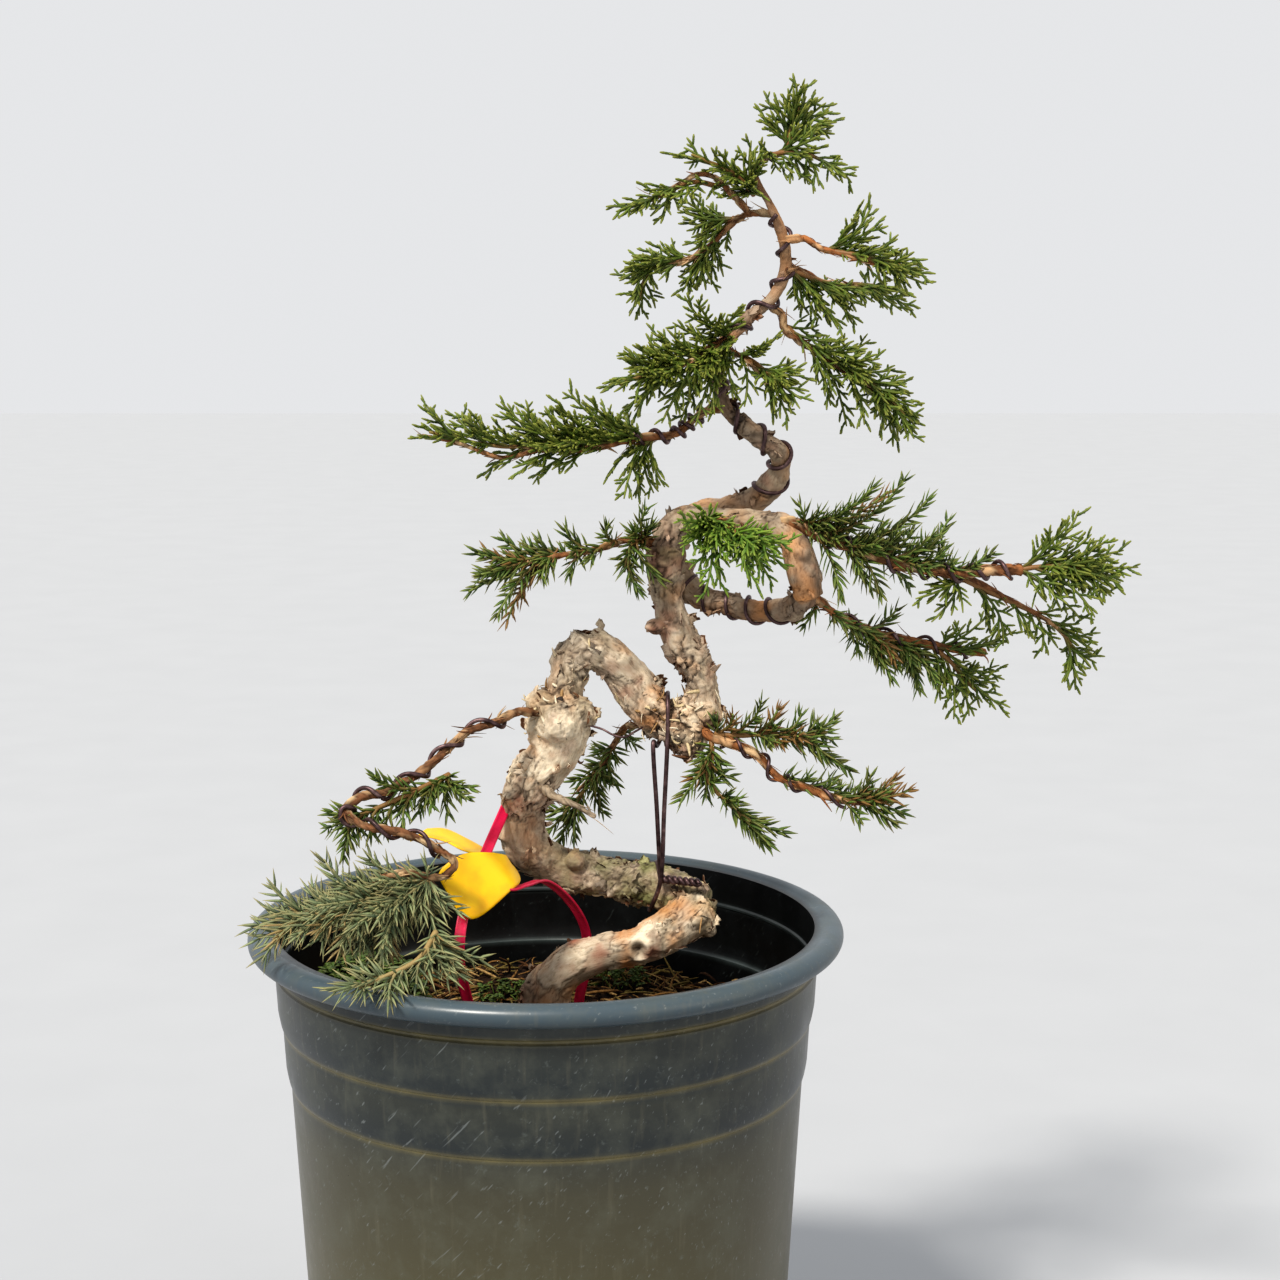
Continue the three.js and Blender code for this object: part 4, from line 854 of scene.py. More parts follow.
def makePot():
    # a disc, drawn up ring by ring through the wall and over the rim, then back down the inside
    outline = potOutline()
    bpy.ops.mesh.primitive_circle_add(vertices=pot["segments"], radius=outline[0][0] * mm, fill_type="NGON")
    shell = bpy.context.object
    bpy.ops.object.mode_set(mode="EDIT")
    bpy.ops.mesh.select_mode(type="FACE")
    bpy.ops.mesh.select_all(action="SELECT")
    bpy.ops.mesh.flip_normals()
    bpy.ops.mesh.select_mode(type="EDGE")
    for (r0, z0), (r1, z1) in zip(outline, outline[1:]):
        bpy.ops.mesh.extrude_edges_move(TRANSFORM_OT_translate={"value": (0, 0, (z1 - z0) * mm)})
        bpy.ops.transform.resize(value=(r1 / r0, r1 / r0, 1), center_override=(0, 0, 0))
    bpy.ops.mesh.edge_face_add()
    bpy.ops.mesh.select_all(action="SELECT")
    bpy.ops.mesh.normals_make_consistent(inside=False)
    bpy.ops.object.mode_set(mode="OBJECT")
    shell.name = "pot_moulded"
    for k in range(pot["drainHoles"]):
        angle = (k + 0.5) / pot["drainHoles"] * 2 * math.pi + math.pi / 2
        place = (math.cos(angle) * pot["baseRadius"] * mm, math.sin(angle) * pot["baseRadius"] * mm, 0)
        bpy.ops.mesh.primitive_cylinder_add(
            vertices=24, radius=pot["drainRadius"] * mm, depth=3 * pot["drainRadius"] * mm, location=place,
            rotation=(math.pi / 2, 0, angle + math.pi / 2))
        cutter = bpy.context.object
        applyModifier(shell, "BOOLEAN", object=cutter, operation="DIFFERENCE")
        bpy.data.objects.remove(cutter)
    bpy.ops.object.select_all(action="DESELECT")
    shell.select_set(True)
    bpy.context.view_layer.objects.active = shell
    bpy.ops.object.shade_smooth_by_angle(angle=math.radians(35))
    shell.select_set(False)
    co = np.array([v.co for v in shell.data.vertices]) / mm
    dust = np.zeros(len(co))
    for drop, width in zip((pot["grooveDrop"], *pot["bandDrops"]), pot["dustWidths"]):
        dust = np.maximum(dust, np.exp(-((co[:, 2] - (potTop - drop + 0.1)) / width) ** 2))
    # the inside of the wall, which the material paints near black as painted shade
    inside = (np.linalg.norm(co[:, :2], axis=1) < np.array([wallRadius(z) for z in co[:,
        2]]) - 0.7).astype(float)
    addTint(shell.data, np.stack([dust, inside, dust * 0, dust * 0 + 1], 1))
    shell.data.materials.append(potPlastic())
    settle(shell, ["pot"])


def potPlastic():
    # Recycled polypropylene, vacuum moulded: satin black, greyed by dust, scratches and dried water. Its colour by
    # height is painted light: an olive painted reflection low down, lit and shaded band edges and a blue-grey painted
    # sheen on the rim; the inside is painted near black as painted shade.
    material, tree, shader = newMaterial("Moulded polypropylene, dusty black, painted sheen and shade",
        {"IOR": 1.49, "Specular IOR Level": 0.5})
    place = addNode(tree, "TexCoord", {}, 3)
    tint = addNode(tree, "Attribute", {"attribute_name": "tint"})
    parts = addNode(tree, "SeparateColor", {"Color": tint}).node.outputs
    height = addNode(tree, "SeparateXYZ", {"Vector": place}, 2)
    level = addNode(tree, "MapRange", {"Value": height, "From Max": potTop * mm})
    # painted light by height: olive low down as a painted reflection, each band lighter just below its edge and darker
    # just above it as painted highlight and shade, and a blue-grey painted sheen on the rim
    body = addNode(tree, "ValToRGB", {"Fac": level, "stops": [
        (0, "#5c5431"), (0.3, "#544e33"), (0.68, "#413f31"), (0.735, "#363730"), (0.75, "#23292b"),
        (0.82, "#2e312c"), (0.84, "#21282b"), (0.92, "#2c302d"), (0.955, "#262d30"), (0.965, "#35424a"),
        (1, "#47555d")]})
    blotches = addNode(tree, "TexNoise", {"Vector": place, "Scale": 1 / (11 * mm), "Detail": 5,
        "Roughness": 0.65})
    scuffed = addNode(tree, "TexNoise", {"Vector": place, "Scale": 1 / (2.2 * mm), "Detail": 4,
        "Roughness": 0.7})
    drawn = addNode(tree, "Mapping", {"Vector": place, "Scale": (1, 1, 0.1)})
    streaks = addNode(tree, "TexNoise", {"Vector": drawn, "Scale": 1 / (1.8 * mm), "Detail": 4})
    tilted = addNode(tree, "Mapping", {"vector_type": "TEXTURE", "Vector": place, "Rotation": (0.3, 0.7, 0),
        "Scale": (1, 1, 16)})
    scratches = addNode(tree, "TexNoise", {"Vector": tilted, "Scale": 1 / (0.9 * mm), "Detail": 2})
    grains = addNode(tree, "TexNoise", {"Vector": place, "Scale": 1 / (1.0 * mm), "Detail": 2})
    # where each kind of wear lies, how strong it is, and its colour on the outside and on the inside; most inside
    # colours are darkened as painted shade
    wear = [
        (blotches, 0.45, 0.8, 0.45, "#5a5d52", "#15191b"), (streaks, 0.58, 0.82, 0.25, "#6d6a5a", "#1c2224"),
        (scuffed, 0.6, 0.78, 0.35, "#6f7775", "#2c3333"), (scratches, 0.66, 0.74, 0.4, "#83898a", "#4c5453"),
        (grains, 0.76, 0.8, 0.4, "#55584f", "#9aa19f")]
    # the inside of the pot is painted near black: painted shade over the plastic's own black
    inner = toLinear("#050708")
    for source, low, high, most, outerColour, innerColour in wear:
        share = addNode(tree, "MapRange", {"Value": source, "From Min": low, "From Max": high, "To Max": most})
        body = addNode(tree, "Mix", {
            "data_type": "RGBA", "Factor_Float": share, "A_Color": body, "B_Color": toLinear(outerColour)}, 2)
        inner = addNode(tree, "Mix", {
            "data_type": "RGBA", "Factor_Float": share, "A_Color": inner, "B_Color": toLinear(innerColour)}, 2)
    caught = addNode(tree, "Math", {"operation": "MULTIPLY_ADD", 0: blotches, 1: 1.1, 2: 0.1})
    dusty = addNode(tree, "Math", {"operation": "MULTIPLY", 0: parts["Red"], 1: caught})
    body = addNode(tree, "Mix", {"data_type": "RGBA", "Factor_Float": dusty, "A_Color": body,
        "B_Color": toLinear("#726840")}, 2)
    inner = addNode(tree, "Mix", {"data_type": "RGBA", "Factor_Float": dusty, "A_Color": inner,
        "B_Color": toLinear("#465050")}, 2)
    colour = addNode(tree, "Mix", {"data_type": "RGBA", "Factor_Float": parts["Green"], "A_Color": body,
        "B_Color": inner}, 2)
    tree.links.new(colour, shader.inputs["Base Color"])
    rough = addNode(tree, "MapRange", {"Value": blotches, "To Min": 0.2, "To Max": 0.5})
    tree.links.new(rough, shader.inputs["Roughness"])
    relief = addNode(tree, "Bump", {"Height": scuffed, "Distance": 0.05 * mm, "Strength": 0.5})
    tree.links.new(relief, shader.inputs["Normal"])
    return material


makePot()
print("pot done")


soil = {"rings": 110, "sides": 200, "reach": (0.4, 72.4), "foot": 0.87, "slope": 1.5, "lumps": 4.5,
    "crumbs": 3.2, "sunk": 0.8}


def soilHeight(x, y):
    p = np.stack([x, y, np.zeros_like(x)], 1)
    edge = np.hypot(x, y) / 72
    lumps = (softNoise(p / 14, 61, 2) - 0.5) * soil["lumps"]
    crumbs = (softNoise(p / 3, 62, 3) - 0.5) * soil["crumbs"]
    return -soil["slope"] * edge ** 2 + lumps + crumbs - soil["sunk"]


def makeSoil():
    rings, sides = soil["rings"], soil["sides"]
    radius = np.linspace(*soil["reach"], rings)
    angle = np.arange(sides) / sides * 2 * math.pi
    x = (radius[:, None] * np.cos(angle)).ravel()
    y = (radius[:, None] * np.sin(angle)).ravel()
    top = np.column_stack([x, y, soilHeight(x, y)])
    depth = soilTop - pot["floor"] - fitGap
    foot = top[-sides:] * [soil["foot"], soil["foot"], 0] + [0, 0, -depth]
    points = np.vstack([top, foot, [[0, 0, soilHeight(np.zeros(1), np.zeros(1))[0]], [0, 0, -depth]]])
    faces = []
    for r in range(rings):
        for s in range(sides):
            n = (s + 1) % sides
            faces.append([r * sides + s, (r + 1) * sides + s, (r + 1) * sides + n, r * sides + n])
    last = rings * sides
    for s in range(sides):
        n = (s + 1) % sides
        faces.append([len(points) - 2, s, n])
        faces.append([len(points) - 1, last + n, last + s])
    number = softNoise(points / 1.3, 63, 2)
    dark, brown = shadesOf("#17110c", "#4b3526")
    colour = dark + (brown - dark) * np.clip(number * 1.6 - 0.4, 0, 1)[:, None]
    makePiece("potting_mix", aboveSoil(points), faces, earth, ["soil"], opaque(colour), points)


def litterPlaces(rng, count):
    radius = litter["placed"] * np.sqrt(rng.random(count))
    angle = rng.random(count) * 2 * math.pi
    x, y = radius * np.cos(angle), radius * np.sin(angle)
    return np.column_stack([x, y, soilHeight(x, y)])


# Straw, dead needles and bark crumbs that lie loosely on the soil.
litter = {
    "placed": 70, "reach": 70.5, "straws": 1500, "strawLength": (4, 15), "strawRadius": (0.18, 0.5),
    "strawTaper": (0.6, 0.9, 1, 1, 0.8, 0.35), "strawLift": (0.3, 2.2), "crumbs": 3200,
    "crumbSize": (0.35, 1.7),
    "crumb": [(1, 0, 0), (-1, 0, 0), (0, 1, 0), (0, -1, 0), (0, 0, 1), (0, 0, -1)],
    "crumbFaces": [(0, 2, 4), (2, 1, 4), (1, 3, 4), (3, 0, 4), (2, 0, 5), (1, 2, 5), (3, 1, 5), (0, 3, 5)]}


def strawLitter(rng):
    count = litter["straws"]
    place = litterPlaces(rng, count)
    length = rng.uniform(*litter["strawLength"], count) * rng.choice([0.6, 1, 1.6], count, p=[0.5, 0.35, 0.15])
    length = length[:, None, None]
    angle = rng.random(count) * 2 * math.pi
    way = np.column_stack([np.cos(angle), np.sin(angle), rng.normal(0, 0.22, count)])
    bend = np.column_stack([-np.sin(angle), np.cos(angle), rng.normal(0.2, 0.5, count)])
    bend = bend * rng.normal(0, 0.22, (count, 1))
    t = np.linspace(-0.5, 0.5, len(litter["strawTaper"]))[None, :, None]
    paths = place[:, None] + way[:, None] * t * length + bend[:, None] * (t ** 2 - 0.25) * length * 2
    paths[:, :, 2] += rng.uniform(*litter["strawLift"], count)[:, None]
    far = np.hypot(paths[:, :, 0], paths[:, :, 1])
    paths[:, :, :2] *= np.minimum(1, litter["reach"] / np.maximum(far, 1))[:, :, None]
    radius = rng.uniform(*litter["strawRadius"], count)[:, None] * litter["strawTaper"]
    points, faces, _ = tubes(paths, radius, 4)
    number = np.repeat(rng.random(count), len(points) // count)
    shades = shadesOf("#3c2819", "#6b4a2c", "#a07a48", "#c9a870", "#8b7a45")
    return points, faces, opaque(shades[np.minimum((number ** 0.9 * 5).astype(int), 4)])


def crumbLitter(rng):
    count = litter["crumbs"]
    place = litterPlaces(rng, count)
    size = rng.uniform(*litter["crumbSize"], (count, 1, 3)) * rng.uniform(0.5, 1, (count, 1, 1))
    spin, _ = np.linalg.qr(rng.normal(size=(count, 3, 3)))
    spin *= np.sign(np.linalg.det(spin))[:, None, None]
    crumb = np.array(litter["crumb"], float)
    points = (np.einsum("nij,nkj->nki", spin, crumb * size) + place[:, None]).reshape(-1, 3)
    faces = (np.arange(count)[:, None, None] * 6 + np.array(litter["crumbFaces"])).reshape(-1, 3).tolist()
    number = np.repeat(rng.random(count), 6)
    shades = shadesOf("#150f0b", "#2c1f16", "#473323", "#6d553c")
    return points, faces, opaque(shades[np.minimum((number ** 1.3 * 4).astype(int), 3)])


def makeLitter():
    rng = np.random.default_rng(12)
    points, faces, tint = joined([strawLitter(rng), crumbLitter(rng)])
    makePiece("soil_litter", aboveSoil(points), faces, earth, tint=tint, grain=points)


def earthMaterial():
    # Peat, composted bark and dead juniper litter: dull, uneven and dark where damp.
    material, tree, shader = newMaterial("Potting mix with bark and straw litter",
        {"Roughness": 0.92, "Specular IOR Level": 0.2})
    place = addNode(tree, "TexCoord", {}, 3)
    tint = addNode(tree, "Attribute", {"attribute_name": "tint"})
    fine = addNode(tree, "TexNoise", {"Vector": place, "Scale": 1 / (0.8 * mm), "Detail": 4, "Roughness": 0.7})
    shade = addNode(tree, "ValToRGB", {"Fac": fine, "stops": [(0.3, "#8a8078"), (0.7, "#ffffff")]})
    colour = addNode(tree, "Mix", {
        "data_type": "RGBA", "blend_type": "MULTIPLY", "Factor_Float": 1.0, "A_Color": tint, "B_Color": shade},
        2)
    tree.links.new(colour, shader.inputs["Base Color"])
    relief = addNode(tree, "Bump", {"Height": fine, "Distance": 0.5 * mm, "Strength": 0.9})
    tree.links.new(relief, shader.inputs["Normal"])
    return material


earth = earthMaterial()
makeSoil()
makeLitter()

# Rosettes of rounded leaves on short stalks, over low mounds. Each clump: its middle, half widths, rise above the
# soil, plants, and the leaves' least and greatest length.
moss = {
    "clumps": [
        ((-54, 4), (19, 29), 19, 400, (1.1, 2.8)), ((-38, -40), (14, 12), 5, 100, (1.0, 2.4)),
        ((-12, 30), (10, 7), 2.5, 50, (0.8, 1.8)), ((20, 44), (12, 8), 2.5, 50, (0.8, 1.8))],
    "reach": 70, "leaves": (5, 9), "leafWidths": (0.1, 0.36, 0.54, 0.46, 0.12), "stalkRadius": 0.22}


def makeMoss():
    rng = np.random.default_rng(21)
    places, ways, sizes, numbers, stalks = [], [], [], [], []
    for (cx, cy), (rx, ry), rise, count, (least, most) in moss["clumps"]:
        reach = np.sqrt(rng.random(count))
        angle = rng.random(count) * 2 * math.pi
        x, y = cx + rx * reach * np.cos(angle), cy + ry * reach * np.sin(angle)
        squeeze = np.minimum(1, moss["reach"] / np.hypot(x, y))
        x, y = x * squeeze, y * squeeze
        height = soilHeight(x, y) + rise * np.sqrt(np.maximum(1 - reach ** 2, 0)) + 0.4
        for root in np.column_stack([x, y, height]):
            centre = root + [*rng.normal(0, 0.7, 2), rng.uniform(0.2, 2.6)]
            stalks.append(root + (centre - root) * np.linspace(-0.8, 1, 4)[:, None])
            leaves = rng.integers(*moss["leaves"])
            way = rng.random() * 2 * math.pi + np.arange(leaves) * 2.4
            places += [centre] * leaves
            ways += list(np.column_stack([np.cos(way), np.sin(way), rng.uniform(0.1, 1.1, leaves)]))
            sizes += list(rng.uniform(least, most) * rng.uniform(0.7, 1.2, leaves))
            numbers += [rng.random()] * leaves
    sizes = np.array(sizes)
    bends = np.tile([0, 0, -0.5], (len(sizes), 1))
    paths = curvedPaths(np.array(places), np.array(ways), bends, sizes, len(moss["leafWidths"]))
    width = sizes[:, None] * moss["leafWidths"]
    points, faces, share = tubes(paths, width, 4, flat=0.22, reference=np.tile([0, 0, 1.0], (len(paths), 1)),
        blunt=0.2)
    parts = [(points, faces, tintOf(share * 0.6, np.repeat(numbers, len(points) // len(paths))))]
    points, faces, share = tubes(np.array(stalks), np.full((len(stalks), 4), moss["stalkRadius"]), 4)
    parts.append((points, faces, tintOf(share, 0.9)))
    points, faces, tint = joined(parts)
    makePiece("moss_rosettes", aboveSoil(points), faces, mossLeaf, ["moss_left"], tint)


mossLeaf = leafMaterial("Moss and weed leaves", "#18280c", "#46602a", "#9aa04c", "#7a6a30")
makeMoss()
print("soil and moss done")


# The label is a ruled sheet between two edges; each strap is a band along one line.
labelEdges = {
    "lower": [
        (-22, -38, 45), (-18, -38, 43), (-8, -34, 50), (-6, -27, 51), (-10, -17, 54), (-16, -11, 55.5),
        (-22, -8, 58),
        (-28, -7, 60.5), (-33, -7, 60.5)],
    "upper": [
        (-28, -38, 56), (-21, -36, 60.5), (-14, -32, 60), (-10, -27, 58), (-15, -23, 57), (-22, -20, 57.5),
        (-27, -18, 59.5), (-33, -17, 60.5), (-37, -16, 59)],
}
straps = {
    "strap_long": {"facing": (0, 1, 0), "places": [
        (5, 8, 86), (-2, 9, 81), (-8, 6, 72), (-12, -5, 64), (-16, -18, 56), (-19, -27, 49), (-21, -32, 43),
        (-22, -35, 36), (-22, -34, 28), (-20, -30, 16), (-18, -27, -5)]},
    "strap_short": {"facing": (0, 0.57, 0.82), "places": [
        (-13, -30, 51.5), (-9, -33, 50), (-5, -27, 49.5), (0, -13, 47), (5, -5, 41), (9, 0, 34), (11, 4, 27),
        (11, 6, 18), (9, 6, 8), (8, 6, -5)]},
}
label = {"steps": 60, "across": 8, "thickness": 0.6, "worn": 0.04}
# A strap's section is (across, out, toothed): flat with rounded edges, and teeth down the middle of each face.
strap = {
    "width": 3, "thickness": 0.7, "toothPitch": 1.1, "toothDepth": 0.3, "section": [
        (-1, 0.35, 0), (-0.92, 0.95, 0), (-0.66, 1, 0), (-0.58, 0.8, 1), (0, 0.8, 1), (0.58, 0.8, 1),
        (0.66, 1, 0),
        (0.92, 0.95, 0), (1, 0.35, 0)]}


def sheetMaterial(name, colour, deep, roughness):
    # Coloured polyethylene, calendered or extruded: glossy enough to show a soft edge to each highlight.
    material, tree, shader = newMaterial(name, {
        "Roughness": roughness, "IOR": 1.51, "Subsurface Weight": 0.08,
        "Subsurface Radius": (0.002, 0.001, 0.0005)})
    place = addNode(tree, "TexCoord", {}, 3)
    blotch = addNode(tree, "TexNoise", {"Vector": place, "Scale": 1 / (6 * mm), "Detail": 3})
    shade = addNode(tree, "ValToRGB", {"Fac": blotch, "stops": [(0.3, deep), (0.6, colour)]})
    tree.links.new(shade, shader.inputs["Base Color"])
    waves = addNode(tree, "TexNoise", {"Vector": place, "Scale": 1 / (1.5 * mm), "Detail": 3})
    relief = addNode(tree, "Bump", {"Height": waves, "Distance": 0.04 * mm, "Strength": 0.5})
    tree.links.new(relief, shader.inputs["Normal"])
    return material


def makeLabel():
    steps, across, worn = label["steps"], label["across"], label["worn"]
    edges = [smoothRoute(labelEdges[key], 12)[0] for key in ("lower", "upper")]
    rows = []
    for t in np.linspace(0, 1, steps + 1):
        low, high = (pointsAt(t, np.linspace(0, 1, len(edge)), edge) for edge in edges)
        if t < worn:
            trim = (worn - t) / worn
            low, high = low + (high - low) * 0.1 * trim ** 2, high + (low - high) * 0.1 * trim ** 2
        rows.append([low + (high - low) * s for s in np.linspace(0, 1, across + 1)])
    points = np.array(rows).reshape(-1, 3)
    faces = []
    for a in range(steps):
        for b in range(across):
            k = a * (across + 1) + b
            faces.append([k, k + 1, k + across + 2, k + across + 1])
    sheet = sheetMaterial("Polyethylene sheet, yellow", "#fbca00", "#f2b400", 0.45)
    piece = makePiece("label_sheet", aboveSoil(points), faces, sheet, ["label"])
    applyModifier(piece, "SOLIDIFY", thickness=label["thickness"] * mm, offset=0)
    applyModifier(piece, "SUBSURF", levels=1, render_levels=1)


def makeStrap(name, route, material):
    path, _ = smoothRoute(route["places"], 30)
    steps = stepsAlong(path)
    path = pointsAt(np.arange(0, steps[-1], strap["toothPitch"] / 3), steps, path)
    _, side, across = carriedAxes(path, route["facing"])
    half, thick = strap["width"] / 2, strap["thickness"] / 2
    section = strap["section"] + [(x, -y, tooth) for x, y, tooth in reversed(strap["section"])]
    section = section[::-1]
    count, sides = len(path), len(section)
    points = []
    for k in range(count):
        depth = strap["toothDepth"] * (k % 3 == 0)
        for x, y, tooth in section:
            points.append(path[k] + across[k] * half * x + side[k] * thick * y * (1 - depth * tooth))
    faces = [[r * sides + s, r * sides + (s + 1) % sides, (r + 1) * sides + (s + 1) % sides,
        (r + 1) * sides + s]
             for r in range(count - 1) for s in range(sides)]
    faces += [list(range(sides))[::-1], [(count - 1) * sides + s for s in range(sides)]]
    makePiece(name + "_band", aboveSoil(np.array(points)), faces, material, [name])


makeLabel()
redStrap = sheetMaterial("Polyethylene strap, red", "#dd1f55", "#bd0f3f", 0.34)
for name, route in straps.items():
    makeStrap(name, route, redStrap)
print("label and straps done")


